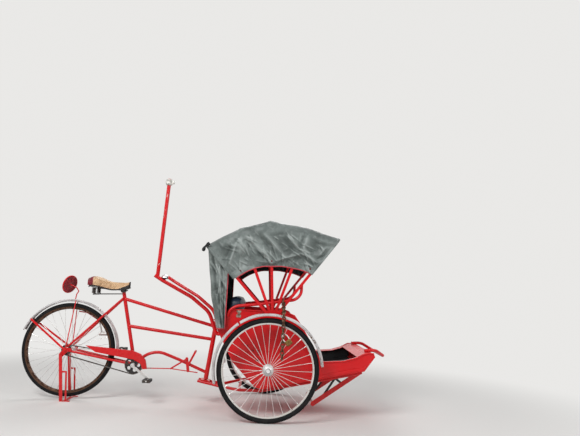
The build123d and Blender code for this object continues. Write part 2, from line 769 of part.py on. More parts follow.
# Curtain behind the seat, with a wing round each side
curtain_low, curtain_high = 613.0, 1240.0
curtain_front = -322.0
slit_w, slit_h = 74.0, 60.0
with BuildPart() as hood_curtain:
    sections = []
    for height, back_x in [(curtain_low, -384), (curtain_high, -502)]:
        plane = Plane(origin=cab_at(0, height), x_dir=(0, 1, 0), z_dir=(0, 0, 1))
        sections.append(skin(plane, hood_half, -curtain_front, -back_x, 36, canvas_t))
    loft(sections, ruled=True)
    rear_angle = bows[0][0]
    behind = Vector(-sin(radians(rear_angle)), 0, cos(radians(rear_angle))) * 0.4
    split(
        bisect_by=Plane(
            origin=cab_at(hood_x, hood_z) + behind,
            x_dir=(0, 1, 0),
            z_dir=(sin(radians(rear_angle)), 0, -cos(radians(rear_angle))),
        ),
        keep=Keep.BOTTOM,
    )
    # a slit in the hem behind the seat leaves room for the steering head
    with BuildSketch(Plane(origin=cab_at(-440, curtain_low))) as slit:
        Rectangle(160, slit_w)
    extrude(slit.sketch, amount=slit_h, mode=Mode.SUBTRACT)
save(hood_curtain, "hood_curtain")

# Cushions
with BuildPart() as seat_cushion:
    with BuildSketch(Plane(origin=(front_x, 0, seat_deck_z + seat_fit))):
        with Locations((-55, 0)):
            RectangleRounded(550, 2 * inner_half - 24, 30)
    extrude(amount=cushion_t)
    fillet(seat_cushion.edges().group_by(Axis.Z)[-1], 20)
save(seat_cushion, "seat_cushion")
back_low = seat_deck_z + cushion_t + 2 * seat_fit
with BuildPart() as back_cushion:
    with BuildSketch(cab_side(inner_half - 14)):
        with BuildLine():
            Polyline(
                (-323, back_low), (-214, back_low), (-204, 730), (-222, 810), (-266, 850), (-318, 852),
                (-334, 800), (-334, 766), (-312, 726), close=True,
            )
        make_face()
    extrude(amount=2 * inner_half - 28)
    fillet(back_cushion.edges().filter_by(Axis.Y).sort_by(Axis.Z)[-2:], 14)
save(back_cushion, "back_cushion")

# Front mudguards, each in two lengths, with brackets to the cab side
for side, name in [(-1, "mudguard_right"), (1, "mudguard_left")]:
    with BuildPart() as mudguard:
        guard(front_x, side * half_track, front_z, front_guard_half, 6, 124)
        guard(front_x, side * half_track, front_z, front_guard_half, 126, 196)
        for angle in (60, 112, 130, 165):
            reach = guard_r + 4
            x, z = reach * cos(radians(angle)), front_z + reach * sin(radians(angle))
            inner_y = side * (cab_half + 0.3)
            outer_y = side * (half_track - front_guard_half + 6)
            rod([cab_at(x, z, inner_y), cab_at(x, z, outer_y)], 6)
    save(mudguard, name)

# Handlebar: two horns that sweep back and up from the tub's back
horn_r = 14.0
back_normal = Vector(-0.859, 0, -0.512)
back_mid = Vector(-354.0, 0, 566.5)
horn_root = back_mid + back_normal * 0.4
horn_knee = back_mid + back_normal * 46
with BuildPart() as handlebar:
    for side in (-1, 1):
        rod(
            [
                cab_at(-872, 972, side * 300), cab_at(-812, 936, side * 296), cab_at(-599, 824, side * 230),
                cab_at(-460, 716, side * 204), cab_at(horn_knee.X, horn_knee.Z, side * 200),
                cab_at(horn_root.X, horn_root.Z, side * 200),
            ],
            horn_r,
            bend=[60, 160, 150, 30],
        )
save(handlebar, "handlebar")

# Tall tube that holds an umbrella, clamped on the right horn
mast_low, mast_high = cab_at(-852.3, 968, -300), cab_at(-819, 1705, -300)
mast_bore = 10.5
with BuildPart() as umbrella_tube:
    rod([mast_low, mast_high], horn_r)
    rod([mast_low + (mast_high - mast_low) * 0.1, mast_high], mast_bore, mode=Mode.SUBTRACT)
    add(handlebar.part, mode=Mode.SUBTRACT)
save(umbrella_tube, "umbrella_tube")
mast_dir = (mast_high - mast_low).normalized()
with BuildPart() as tube_wrap:
    rod([mast_high - mast_dir * 50, mast_high - mast_dir * 1], 27)
    rod([mast_high - mast_dir * 50, mast_high - mast_dir * 1], horn_r + 0.3, mode=Mode.SUBTRACT)
save(tube_wrap, "tube_wrap")
bell_r, bell_h = 28.0, 27.0
bell_z = 956.0
with BuildPart() as bell:
    rod([cab_at(-800, 930, -292), cab_at(-800, bell_z + 4, -292)], 8)
    with BuildSketch(Plane(origin=cab_at(-800, bell_z, -292))):
        Circle(bell_r)
    extrude(amount=bell_h)
    fillet(bell.faces().sort_by(Axis.Z)[-1].edges(), 14)
    add(handlebar.part, mode=Mode.SUBTRACT)
save(bell, "bell")

# Small things on the right side: latch, padlock and its chain
with BuildPart() as latch:
    with BuildSketch(cab_side(-cab_half - 0.3)):
        with Locations((-230, 726)):
            RectangleRounded(40, 60, 6)
    extrude(amount=9)
save(latch, "latch")
lock_y = -half_track - 44
links_r = 11.0
guard_z = front_z + guard_r
links_path = [
    cab_at(88, 828, -arm_y),
    cab_at(88, 826, -arm_y - 40),
    cab_at(89, guard_z + 31, -half_track),
    cab_at(90, guard_z + 4, lock_y),
    cab_at(90, 436, lock_y),
]
lock_x, lock_z, lock_t = 130.0, 556.0, 18.0
shackle_r = 4.0
with BuildPart() as lock_chain:
    rod(links_path, links_r, bend=12)
    add(armrests.part, mode=Mode.SUBTRACT)
save(lock_chain, "lock_chain")
with BuildPart() as padlock:
    with BuildSketch(cab_side(lock_y + lock_t / 2)):
        with Locations((lock_x, lock_z)):
            RectangleRounded(50, 52, 6)
    extrude(amount=lock_t)
    shackle = [(lock_x + 14, lock_z), (lock_x + 14, lock_z + 48), (90, lock_z + 48)]
    rod([cab_at(x, z, lock_y) for x, z in shackle], shackle_r, bend=12)
    rod(links_path, links_r + seat_fit, bend=12, mode=Mode.SUBTRACT)
save(padlock, "padlock")
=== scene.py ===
import bmesh
import bpy
import numpy as np
from mathutils import Matrix, Vector


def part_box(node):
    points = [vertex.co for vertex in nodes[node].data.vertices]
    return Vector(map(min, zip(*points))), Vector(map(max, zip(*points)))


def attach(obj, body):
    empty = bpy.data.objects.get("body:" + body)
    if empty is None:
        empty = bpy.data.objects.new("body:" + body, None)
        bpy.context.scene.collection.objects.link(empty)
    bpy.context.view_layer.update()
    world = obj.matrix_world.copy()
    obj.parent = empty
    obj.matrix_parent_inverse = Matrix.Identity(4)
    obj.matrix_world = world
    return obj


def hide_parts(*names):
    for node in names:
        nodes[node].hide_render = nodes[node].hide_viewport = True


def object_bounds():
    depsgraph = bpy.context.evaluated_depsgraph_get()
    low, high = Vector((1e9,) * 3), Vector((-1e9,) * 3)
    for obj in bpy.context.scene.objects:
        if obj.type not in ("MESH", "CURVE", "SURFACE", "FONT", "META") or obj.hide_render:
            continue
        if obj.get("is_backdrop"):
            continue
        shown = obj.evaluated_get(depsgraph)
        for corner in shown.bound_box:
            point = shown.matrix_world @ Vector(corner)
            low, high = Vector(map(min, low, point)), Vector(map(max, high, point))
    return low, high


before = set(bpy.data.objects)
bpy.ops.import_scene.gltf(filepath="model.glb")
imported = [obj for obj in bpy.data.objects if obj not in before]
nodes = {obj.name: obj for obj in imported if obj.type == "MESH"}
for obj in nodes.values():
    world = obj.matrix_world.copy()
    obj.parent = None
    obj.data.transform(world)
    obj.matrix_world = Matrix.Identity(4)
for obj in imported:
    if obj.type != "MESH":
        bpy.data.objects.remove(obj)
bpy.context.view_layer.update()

# Places that the pieces share, in metres, as the solid parts have them
place = {
    "rearX": -1.042, "rearZ": 0.372, "frontX": 0.503, "frontZ": 0.356, "halfTrack": 0.560,
    "pivotX": 0.520, "pivotZ": 0.690, "hoodHalf": 0.443, "crankX": -0.527, "crankZ": 0.280, "chainY": -0.042,
}
rearCentre = (place["rearX"], 0.0, place["rearZ"])
frontCentre = {side: (place["frontX"], side * place["halfTrack"], place["frontZ"]) for side in (-1, 1)}
bothSides = [(-1, "right"), (1, "left")]


# Meshes from arrays

def meshObject(name, verts, faces, uv=None, smooth=True):
    # one mesh from an array of points and an array of faces, with a UV for every vertex if given
    mesh = bpy.data.meshes.new(name)
    mesh.from_pydata(np.asarray(verts, float).tolist(), [], [list(map(int, f)) for f in faces])
    if uv is not None:
        layer = mesh.uv_layers.new(name="surface")
        loops = np.empty(len(mesh.loops), int)
        mesh.loops.foreach_get("vertex_index", loops)
        layer.data.foreach_set("uv", np.asarray(uv, float)[loops].ravel())
    mesh.polygons.foreach_set("use_smooth", [smooth] * len(mesh.polygons))
    mesh.update()
    piece = bpy.data.objects.new(name, mesh)
    bpy.context.scene.collection.objects.link(piece)
    return piece


def gridFaces(rows, columns, closeRows=False, closeColumns=False, first=0):
    # quads between neighbours of a rows x columns grid; a closed direction joins its last line to its first
    r = np.arange(rows if closeRows else rows - 1)
    c = np.arange(columns if closeColumns else columns - 1)
    r, c = np.meshgrid(r, c, indexing="ij")
    a = r * columns + c
    b = r * columns + (c + 1) % columns
    d = ((r + 1) % rows) * columns + c
    e = ((r + 1) % rows) * columns + (c + 1) % columns
    return np.stack([a, b, e, d], -1).reshape(-1, 4) + first


def surface(name, points, closeRows=False, closeColumns=False, uv=None, flip=False, smooth=True, caps=False):
    # a grid of points (rows, columns, 3) as one surface, its two end rows filled if caps is set
    rows, columns = points.shape[:2]
    faces = gridFaces(rows, columns, closeRows, closeColumns)
    if uv is None:
        u, v = np.meshgrid(np.linspace(0, 1, rows), np.linspace(0, 1, columns), indexing="ij")
        uv = np.stack([u, v], -1)
    faces = faces.tolist()
    if caps:
        faces.append(list(range(columns))[::-1])
        faces.append([(rows - 1) * columns + k for k in range(columns)])
    if flip:
        faces = [f[::-1] for f in faces]
    return meshObject(name, points.reshape(-1, 3), faces, uv.reshape(-1, 2), smooth)


def smoothPath(points, count):
    # evenly spaced points on a Catmull-Rom curve: each span is a cubic that passes through both its points
    p = np.asarray(points, float)
    p = np.vstack([2 * p[0] - p[1], p, 2 * p[-1] - p[-2]])
    t = np.linspace(0, len(p) - 3 - 1e-9, 40 * len(p))
    k = t.astype(int)
    f = (t - k)[:, None]
    a, b, c, d = p[k], p[k + 1], p[k + 2], p[k + 3]
    curve = 0.5 * (2 * b + (c - a) * f + (2 * a - 5 * b + 4 * c - d) * f**2 + (3 * b - a - 3 * c + d) * f**3)
    length = np.concatenate([[0], np.cumsum(np.linalg.norm(np.diff(curve, axis=0), axis=1))])
    even = np.linspace(0, length[-1], count)
    return np.stack([np.interp(even, length, curve[:, i]) for i in range(3)], -1)


def frames(path, up=(0, 1, 0), closed=False):
    # at each point of a path: the tangent, and two directions square to it, the first one nearest to up
    if closed:
        tangent = np.roll(path, -1, 0) - np.roll(path, 1, 0)
    else:
        tangent = np.gradient(path, axis=0)
    tangent /= np.linalg.norm(tangent, axis=1)[:, None]
    side = np.asarray(up, float) - (tangent @ np.asarray(up, float))[:, None] * tangent
    side /= np.linalg.norm(side, axis=1)[:, None]
    return tangent, side, np.cross(tangent, side)


def tube(name, path, radius, sides=12, up=(0, 1, 0), closed=False, flat=1.0):
    # a circle of the radius carried along a path; flat squeezes it along the second direction
    path = np.asarray(path, float)
    tangent, side, other = frames(path, up, closed)
    angle = np.linspace(0, 2 * np.pi, sides, endpoint=False)
    radius = np.broadcast_to(radius, len(path))[:, None, None]
    ring = np.cos(angle)[None, :, None] * side[:, None] + flat * np.sin(angle)[None, :, None] * other[:, None]
    return surface(name, path[:, None] + radius * ring, closed, True, caps=not closed)


def turned(name, profile, centre, axis=(0, 1, 0), count=96, closedProfile=False):
    # a profile of (radius, height) turned round an axis through a centre, closed where it meets the axis
    profile = np.asarray(profile, float)
    axis = np.asarray(axis, float) / np.linalg.norm(axis)
    helper = np.array([1.0, 0, 0]) if abs(axis[0]) < 0.9 else np.array([0, 0, 1.0])
    first = helper - axis * (helper @ axis)
    first /= np.linalg.norm(first)
    second = np.cross(axis, first)
    angle = np.linspace(0, 2 * np.pi, count, endpoint=False)
    spoke = np.cos(angle)[:, None] * first + np.sin(angle)[:, None] * second
    radius, height = profile[None, :, 0, None], profile[None, :, 1, None]
    points = np.asarray(centre) + radius * spoke[:, None] + height * axis
    u, v = np.meshgrid(np.arange(count) / count, np.linspace(0, 1, len(profile)), indexing="ij")
    return weld(surface(name, points, True, closedProfile, uv=np.stack([u, v], -1)))


def weld(piece):
    # merges points that lie together, and turns every face outwards
    work = bmesh.new()
    work.from_mesh(piece.data)
    bmesh.ops.remove_doubles(work, verts=work.verts, dist=1e-6)
    bmesh.ops.recalc_face_normals(work, faces=work.faces)
    work.to_mesh(piece.data)
    work.free()
    piece.data.update()
    return piece


def rods(name, starts, ends, radiusStart, radiusEnd=None, sides=6):
    # many short straight bars in one mesh, each a prism from its start to its end
    starts, ends = np.asarray(starts, float), np.asarray(ends, float)
    radiusEnd = radiusStart if radiusEnd is None else radiusEnd
    run = ends - starts
    run /= np.linalg.norm(run, axis=1)[:, None]
    helper = np.where(np.abs(run[:, 2:]) < 0.9, [[0, 0, 1.0]], [[1.0, 0, 0]])
    side = np.cross(run, helper)
    side /= np.linalg.norm(side, axis=1)[:, None]
    other = np.cross(run, side)
    angle = np.linspace(0, 2 * np.pi, sides, endpoint=False)
    ring = np.cos(angle)[None, :, None] * side[:, None] + np.sin(angle)[None, :, None] * other[:, None]
    rings = [starts[:, None] + radiusStart * ring, ends[:, None] + radiusEnd * ring]
    verts = np.stack(rings, 1).reshape(-1, 3)
    k = np.arange(sides)
    wall = np.stack([k, (k + 1) % sides, sides + (k + 1) % sides, sides + k], -1).tolist()
    one = wall + [list(range(sides))[::-1], list(range(sides, 2 * sides))]
    faces = [[i + 2 * sides * n for i in f] for n in range(len(starts)) for f in one]
    return weld(meshObject(name, verts, faces, np.zeros((len(verts), 2)), smooth=sides > 6))


def grow(value, power):
    # a signed power of a sine or cosine, which squares a circle off
    return np.sign(value) * np.abs(value) ** power


def roundedBox(name, centre, size, power=6, count=(40, 24), axes=None):
    # a superellipsoid: each coordinate is a signed power of the sphere's sine and cosine
    lat = np.linspace(-np.pi / 2, np.pi / 2, count[1])
    lon = np.linspace(0, 2 * np.pi, count[0], endpoint=False)
    lat, lon = np.meshgrid(lat, lon, indexing="ij")
    reach = grow(np.cos(lat), 2 / power)
    x, y = reach * grow(np.cos(lon), 2 / power), reach * grow(np.sin(lon), 2 / power)
    points = np.stack([x, y, grow(np.sin(lat), 2 / power)], -1) * np.asarray(size) / 2
    if axes is not None:
        points = points @ np.asarray(axes, float)
    return weld(surface(name, points + np.asarray(centre), False, True))


def spacing(stops, counts):
    # evenly spaced numbers from each stop to the next, joined without doubles
    parts = [np.linspace(low, high, count) for low, high, count in zip(stops, stops[1:], counts)]
    return np.concatenate([parts[0]] + [part[1:] for part in parts[1:]])


def storeValue(piece, name, values):
    # keeps one number a vertex, which a material reads as an attribute
    layer = piece.data.attributes.new(name, "FLOAT", "POINT")
    layer.data.foreach_set("value", np.ravel(values).astype(np.float32))


def modify(piece, kind, **settings):
    # adds a modifier with its settings
    mod = piece.modifiers.new(kind.title(), kind)
    for key, value in settings.items():
        setattr(mod, key, value)
    return mod


def faceMiddles(piece):
    # the middle of every face, as an array of points
    middles = np.empty(len(piece.data.polygons) * 3)
    piece.data.polygons.foreach_get("center", middles)
    return middles.reshape(-1, 3)


def pickLooks(piece, numbers):
    # which of its materials each face has
    piece.data.polygons.foreach_set("material_index", np.ravel(numbers).astype(np.int32))


def meshPoints(mesh):
    # the mesh's points as an array
    points = np.empty(len(mesh.vertices) * 3)
    mesh.vertices.foreach_get("co", points)
    return points.reshape(-1, 3)


# Materials

def linear(code):
    # an sRGB hex colour as the linear RGBA that a shader takes
    value = np.array([int(code[i:i + 2], 16) for i in (1, 3, 5)]) / 255
    value = np.where(value <= 0.04045, value / 12.92, ((value + 0.055) / 1.055) ** 2.4)
    return (*value.tolist(), 1.0)


def addNode(tree, kind, settings=None, links=None):
    # adds a node; a setting is a list of (place, colour) stops, one of the node's own options or the value
    # of a socket, and a link feeds a socket from another socket or from a node's first output
    node = tree.nodes.new("ShaderNode" + kind)
    for key, value in (settings or {}).items():
        if key == "stops":
            marks = node.color_ramp.elements
            while len(marks) < len(value):
                marks.new(0.5)
            for mark, (at, colour) in zip(marks, value):
                mark.position = at
                mark.color = colour if isinstance(colour, tuple) else (colour, colour, colour, 1)
        elif isinstance(key, str) and hasattr(node, key):
            setattr(node, key, value)
        else:
            node.inputs[key].default_value = value
    for key, source in (links or {}).items():
        tree.links.new(source.outputs[0] if hasattr(source, "outputs") else source, node.inputs[key])
    return node


def startMaterial(name):
    # a new material, its empty node tree, and the coordinates that patterns are laid on
    material = bpy.data.materials.new(name)
    material.use_nodes = True
    material.node_tree.nodes.clear()
    return material, material.node_tree, addNode(material.node_tree, "TexCoord")


def finishMaterial(material, settings, links):
    # the shader, with its plain values and the patterns that feed it
    shader = addNode(material.node_tree, "BsdfPrincipled", settings, links)
    addNode(material.node_tree, "OutputMaterial", links={"Surface": shader})
    return material


def wornPaint(name, fresh, faded, chip, chipSize=0.012, chipShare=0.36, rough=0.34, dust=0.2):
    # brushed enamel on steel: a thick gloss film with brush waves, paler where sun and hands wore it,
    # chipped to dark rust in spots a few millimetres wide, and dusty near the ground
    material, tree, coords = startMaterial(name)
    where = {"Vector": coords.outputs["Object"]}
    broad = addNode(tree, "TexNoise", {"Scale": 5.0, "Detail": 3.0, "Roughness": 0.6}, where)
    fine = addNode(tree, "TexNoise", {"Scale": 1 / chipSize, "Detail": 4.0, "Roughness": 0.65}, where)
    patch = addNode(tree, "TexNoise", {"Scale": 9.0, "Detail": 2.0}, where)
    fade = addNode(tree, "ValToRGB", {"stops": [(0.42, 0), (0.68, 1)]}, {0: broad})
    shades = {"data_type": "RGBA", 6: linear(fresh), 7: linear(faded)}
    colour = addNode(tree, "Mix", shades, {0: fade}).outputs[2]
    spots = addNode(tree, "Math", {"operation": "MULTIPLY"}, {0: fine, 1: patch})
    worn = addNode(tree, "ValToRGB", {"stops": [(chipShare - 0.012, 0), (chipShare + 0.012, 1)]}, {0: spots})
    colour = addNode(tree, "Mix", {"data_type": "RGBA", 7: linear(chip)}, {0: worn, 6: colour}).outputs[2]
    height = addNode(tree, "SeparateXYZ", links={0: coords.outputs["Object"]})
    low = addNode(tree, "MapRange", {1: 0.45, 2: 0.05, 3: 0.0, 4: dust}, {0: height.outputs[2]})
    soil = addNode(tree, "Math", {"operation": "MULTIPLY"}, {0: low, 1: broad})
    dirt = {"data_type": "RGBA", 7: linear("#6f655c")}
    colour = addNode(tree, "Mix", dirt, {0: soil, 6: colour}).outputs[2]
    gloss = addNode(tree, "MapRange", {1: 0.0, 2: 1.0, 3: rough, 4: 0.75}, {0: worn})
    film = addNode(tree, "TexNoise", {"Scale": 60.0, "Detail": 2.0}, where)
    wave = addNode(tree, "Bump", {"Strength": 0.35, "Distance": 0.02}, {"Height": patch})
    brush = addNode(tree, "Bump", {"Strength": 0.12, "Distance": 0.002}, {"Height": film, "Normal": wave})
    dent = addNode(tree, "Bump", {"Strength": 0.35, "Distance": 0.0006, "invert": True},
                   {"Height": worn, "Normal": brush})
    return finishMaterial(material, {"Specular IOR Level": 0.35, "Coat Weight": 0.12, "Coat Roughness": 0.18},
                          {"Base Color": colour, "Roughness": gloss, "Normal": dent})


def bareMetal(name, base, spotted, rough=0.3, spotShare=0.6, scale=40.0, metallic=1.0):
    # plated or polished steel: metallic, dulled by grime, with rust freckles
    material, tree, coords = startMaterial(name)
    where = {"Vector": coords.outputs["Object"]}
    noise = addNode(tree, "TexNoise", {"Scale": scale, "Detail": 5.0, "Roughness": 0.7}, where)
    mask = addNode(tree, "ValToRGB", {"stops": [(spotShare - 0.06, 0), (spotShare + 0.05, 1)]}, {0: noise})
    shades = {"data_type": "RGBA", 6: linear(base), 7: linear(spotted)}
    colour = addNode(tree, "Mix", shades, {0: mask}).outputs[2]
    grain = addNode(tree, "MapRange", {1: 0.3, 2: 0.8, 3: rough, 4: rough + 0.25}, {0: noise})
    bump = addNode(tree, "Bump", {"Strength": 0.1, "Distance": 0.001}, {"Height": noise})
    return finishMaterial(material, {"Metallic": metallic},
                          {"Base Color": colour, "Roughness": grain, "Normal": bump})


def coatedCanvas(name, base, pale, dark):
    # cotton duck with a waterproof coat: a 1.2 mm plain weave drawn at 4 mm so that it shows,
    # scuffed pale in random streaks, with a painted highlight on the folds' crests and painted shade in their
    # hollows
    material, tree, coords = startMaterial(name)
    where = {"Vector": coords.outputs["Object"]}
    broad = addNode(tree, "TexNoise", {"Scale": 3.2, "Detail": 5.0, "Roughness": 0.65}, where)
    streak = addNode(tree, "TexNoise", {"Scale": 22.0, "Detail": 3.0, "Distortion": 1.2}, where)
    shades = [(0.3, linear(dark)), (0.52, linear(base)), (0.72, linear(pale))]
    tone = addNode(tree, "ValToRGB", {"stops": shades}, {0: broad})
    scuff = addNode(tree, "ValToRGB", {"stops": [(0.55, 0), (0.75, 0.35)]}, {0: streak})
    colour = addNode(tree, "Mix", {"data_type": "RGBA", 7: linear(pale)}, {0: scuff, 6: tone}).outputs[2]
    # the piece's own folds: a painted highlight on their crests and painted shade in their hollows
    fold = addNode(tree, "Attribute", {"attribute_name": "fold"})
    crest = addNode(tree, "MapRange", {1: 0.2, 2: 1.0, 3: 0.0, 4: 0.9}, {0: fold.outputs["Fac"]})
    hollow = addNode(tree, "MapRange", {1: -0.05, 2: -0.55, 3: 0.0, 4: 0.9}, {0: fold.outputs["Fac"]})
    colour = addNode(tree, "Mix", {"data_type": "RGBA", 7: linear(pale)}, {0: crest, 6: colour}).outputs[2]
    colour = addNode(tree, "Mix", {"data_type": "RGBA", 7: linear(dark)}, {0: hollow, 6: colour}).outputs[2]
    warp = addNode(tree, "TexWave", {"Scale": 80.0, "bands_direction": "X"}, where)
    weft = addNode(tree, "TexWave", {"Scale": 80.0, "bands_direction": "Z"}, where)
    weave = addNode(tree, "Math", {"operation": "ADD"}, {0: warp.outputs[1], 1: weft.outputs[1]})
    rumple = addNode(tree, "TexNoise", {"Scale": 14.0, "Detail": 4.0, "Distortion": 0.8}, where)
    # wide creases run where a noise crosses its middle value
    wide = addNode(tree, "TexNoise", {"Scale": 6.5, "Detail": 1.5, "Distortion": 0.5}, where)
    middle = addNode(tree, "Math", {"operation": "SUBTRACT", 1: 0.5}, {0: wide})
    crumple = addNode(tree, "Math", {"operation": "ABSOLUTE"}, {0: middle})
    threads = addNode(tree, "Bump", {"Strength": 0.12, "Distance": 0.0006}, {"Height": weave})
    soft = addNode(tree, "Bump", {"Strength": 0.5, "Distance": 0.010}, {"Height": rumple, "Normal": threads})
    facets = addNode(tree, "Bump", {"Strength": 0.6, "Distance": 0.10}, {"Height": crumple, "Normal": soft})
    return finishMaterial(material, {"Roughness": 0.5, "Sheen Weight": 0.15},
                          {"Base Color": colour, "Normal": facets})


def grainedSkin(name, base, worn, rough=0.5, scale=260.0, wornShare=0.58, wrinkle=0.0):
    # leather or leathercloth: a pebbled grain a few millimetres across, rubbed to a second colour in patches,
    # with soft wrinkles some 60 mm apart where it has stretched
    material, tree, coords = startMaterial(name)
    where = {"Vector": coords.outputs["Object"]}
    patch = addNode(tree, "TexNoise", {"Scale": 14.0, "Detail": 5.0, "Roughness": 0.7}, where)
    mask = addNode(tree, "ValToRGB", {"stops": [(wornShare - 0.08, 0), (wornShare + 0.08, 1)]}, {0: patch})
    shades = {"data_type": "RGBA", 6: linear(base), 7: linear(worn)}
    colour = addNode(tree, "Mix", shades, {0: mask}).outputs[2]
    grain = addNode(tree, "TexVoronoi", {"Scale": scale}, where)
    bump = addNode(tree, "Bump", {"Strength": 0.3, "Distance": 0.0008}, {"Height": grain})
    wave = addNode(tree, "TexNoise", {"Scale": 17.0, "Detail": 1.5, "Distortion": 0.7}, where)
    middle = addNode(tree, "Math", {"operation": "SUBTRACT", 1: 0.5}, {0: wave})
    ridge = addNode(tree, "Math", {"operation": "ABSOLUTE"}, {0: middle})
    soft = addNode(tree, "Bump", {"Strength": wrinkle, "Distance": 0.04}, {"Height": ridge, "Normal": bump})
    return finishMaterial(material, {"Roughness": rough}, {"Base Color": colour, "Normal": soft})


def tyreRubber(name, side, wall=0.2):
    # moulded rubber: charcoal tread with cross ribs 8 mm apart, side walls of their own colour, and road dust
    material, tree, coords = startMaterial(name)
    apart = addNode(tree, "SeparateXYZ", links={0: coords.outputs["UV"]})
    band = addNode(tree, "Math", {"operation": "PINGPONG", 1: 0.5}, {0: apart.outputs[1]})
    zone = addNode(tree, "ValToRGB", {"stops": [(wall, 0), (wall + 0.03, 1)]}, {0: band})
    dust = addNode(tree, "TexNoise", {"Scale": 30.0, "Detail": 4.0}, {"Vector": coords.outputs["Object"]})
    shades = {"data_type": "RGBA", 6: linear(side), 7: linear("#101012")}
    colour = addNode(tree, "Mix", shades, {0: zone}).outputs[2]
    soil = addNode(tree, "ValToRGB", {"stops": [(0.52, 0), (0.8, 0.16)]}, {0: dust})
    dirt = {"data_type": "RGBA", 7: linear("#5b544d")}
    colour = addNode(tree, "Mix", dirt, {0: soil, 6: colour}).outputs[2]
    ribs = addNode(tree, "Math", {"operation": "MULTIPLY", 1: 280.0}, {0: apart})
    wave = addNode(tree, "Math", {"operation": "PINGPONG", 1: 0.5}, {0: ribs})
    cut = addNode(tree, "Math", {"operation": "MULTIPLY"}, {0: wave, 1: zone})
    bump = addNode(tree, "Bump", {"Strength": 0.8, "Distance": 0.002}, {"Height": cut})
    return finishMaterial(material, {"Roughness": 0.78, "Specular IOR Level": 0.22},
                          {"Base Color": colour, "Normal": bump})


def mouldedPlastic(name, base, dark, rough=0.4, scale=120.0):
    # moulded plastic or wound tape: fine orange peel and grime in its hollows
    material, tree, coords = startMaterial(name)
    noise = addNode(tree, "TexNoise", {"Scale": scale, "Detail": 3.0}, {"Vector": coords.outputs["Object"]})
    tone = addNode(tree, "ValToRGB", {"stops": [(0.35, linear(dark)), (0.6, linear(base))]}, {0: noise})
    bump = addNode(tree, "Bump", {"Strength": 0.2, "Distance": 0.0015}, {"Height": noise})
    return finishMaterial(material, {"Roughness": rough}, {"Base Color": tone, "Normal": bump})


redEnamel = wornPaint("brushedRedEnamel", "#d0060f", "#dc141c", "#4a1a14", chipShare=0.41)
redEnamelScuffed = wornPaint("scuffedRedEnamel", "#d0060f", "#dc1c24", "#e8d9cf", 0.010, 0.35)
whiteEnamel = wornPaint("whiteRimEnamel", "#dedcd8", "#c9c4bc", "#5e4a3c", 0.012, 0.37, rough=0.4, dust=0.3)
silverPaint = wornPaint("aluminiumPaint", "#dad7d7", "#b5b0ae", "#6f5a4c", 0.012, 0.35, rough=0.36, dust=0.3)
blackEnamel = wornPaint("blackStoveEnamel", "#1b1a1c", "#2c2a2a", "#5a3a28", 0.012, 0.34, rough=0.45)
rustyPlate = bareMetal("rustedRimPlating", "#6b5142", "#3e2417", 0.5, 0.5, metallic=0.7)
brightSteel = bareMetal("drawnSteelWire", "#d9d8d6", "#9a9188", 0.3, 0.64, metallic=0.85)
rustyChain = bareMetal("rustedChainSteel", "#8c6f58", "#4a2c1b", 0.5, 0.48, scale=90.0, metallic=0.6)
dullSteel = bareMetal("greasySteel", "#6a6562", "#3a2f28", 0.42, 0.52)
hubAlloy = bareMetal("polishedHubAlloy", "#f2f1f1", "#b9b4ae", 0.34, 0.66, metallic=0.75)
chromePlate = bareMetal("chromePlate", "#dcdcde", "#a9a39c", 0.12, 0.66)
agedSteel = bareMetal("agedPlatedSteel", "#b5a598", "#6e5442", 0.4, 0.52, metallic=0.7)
oldBrass = bareMetal("castBrass", "#8f7446", "#57402a", 0.42, 0.52)
hoodCanvasCloth = coatedCanvas("coatedDuckCanvas", "#646d6a", "#98a09d", "#363e3b")
piping = grainedSkin("rubberisedPiping", "#c23a44", "#8b2a32", 0.55, 300.0)
buttonRed = grainedSkin("darkRedButton", "#6e1a20", "#4b1014", 0.5, 300.0)
# near black for the inner faces of the hood and curtain: painted shade for the dark inside of the hood
paintedShadeLining = grainedSkin("paintedShadeBlackCloth", "#141617", "#202324", 0.85, 400.0)
darkCloth = grainedSkin("blackWebbing", "#1c1e1f", "#2b2d2e", 0.8, 400.0)
blueCloth = grainedSkin("blueLeathercloth", "#1a2638", "#2b3b50", 0.40, 300.0, wrinkle=0.12)
tanLeather = grainedSkin("tanSaddleHide", "#dcb58a", "#b98e66", 0.45, 350.0, wornShare=0.60, wrinkle=0.8)
crimsonHide = grainedSkin("crimsonSaddleHide", "#8a1828", "#5c101c", 0.42)
blackHide = grainedSkin("blackSaddleHide", "#242122", "#3b3431", 0.5)
frontTyre = tyreRubber("blackTyreRubber", "#131315")
rearTyre = tyreRubber("gumWallTyreRubber", "#5f4534", wall=0.07)
lensRed = mouldedPlastic("mouldedRubyPlastic", "#6e1218", "#43080d", 0.2, 60.0)
cupRed = mouldedPlastic("paintedRubyCup", "#9c2630", "#6a161c", 0.45, 45.0)
tapeWhite = mouldedPlastic("woundWhiteTape", "#f1f0ea", "#a8a49a", 0.5, 60.0)
blockRubber = mouldedPlastic("pedalBlockRubber", "#29282a", "#161617", 0.7)
matRubber = mouldedPlastic("blackFloorMat", "#1d2325", "#0e1213", 0.75)
print("materials ready:", len(bpy.data.materials))


def finishPiece(piece, body, material, replaced=()):
    # gives a new piece its material, its body and the solids that it stands for
    piece.data.materials.clear()
    piece.data.materials.append(material)
    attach(piece, body)
    if replaced:
        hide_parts(*replaced)
    return piece


def dress(material, *names):
    # gives solids that keep their shape a material of their own
    for name in names:
        nodes[name].data.materials.clear()
        nodes[name].data.materials.append(material)


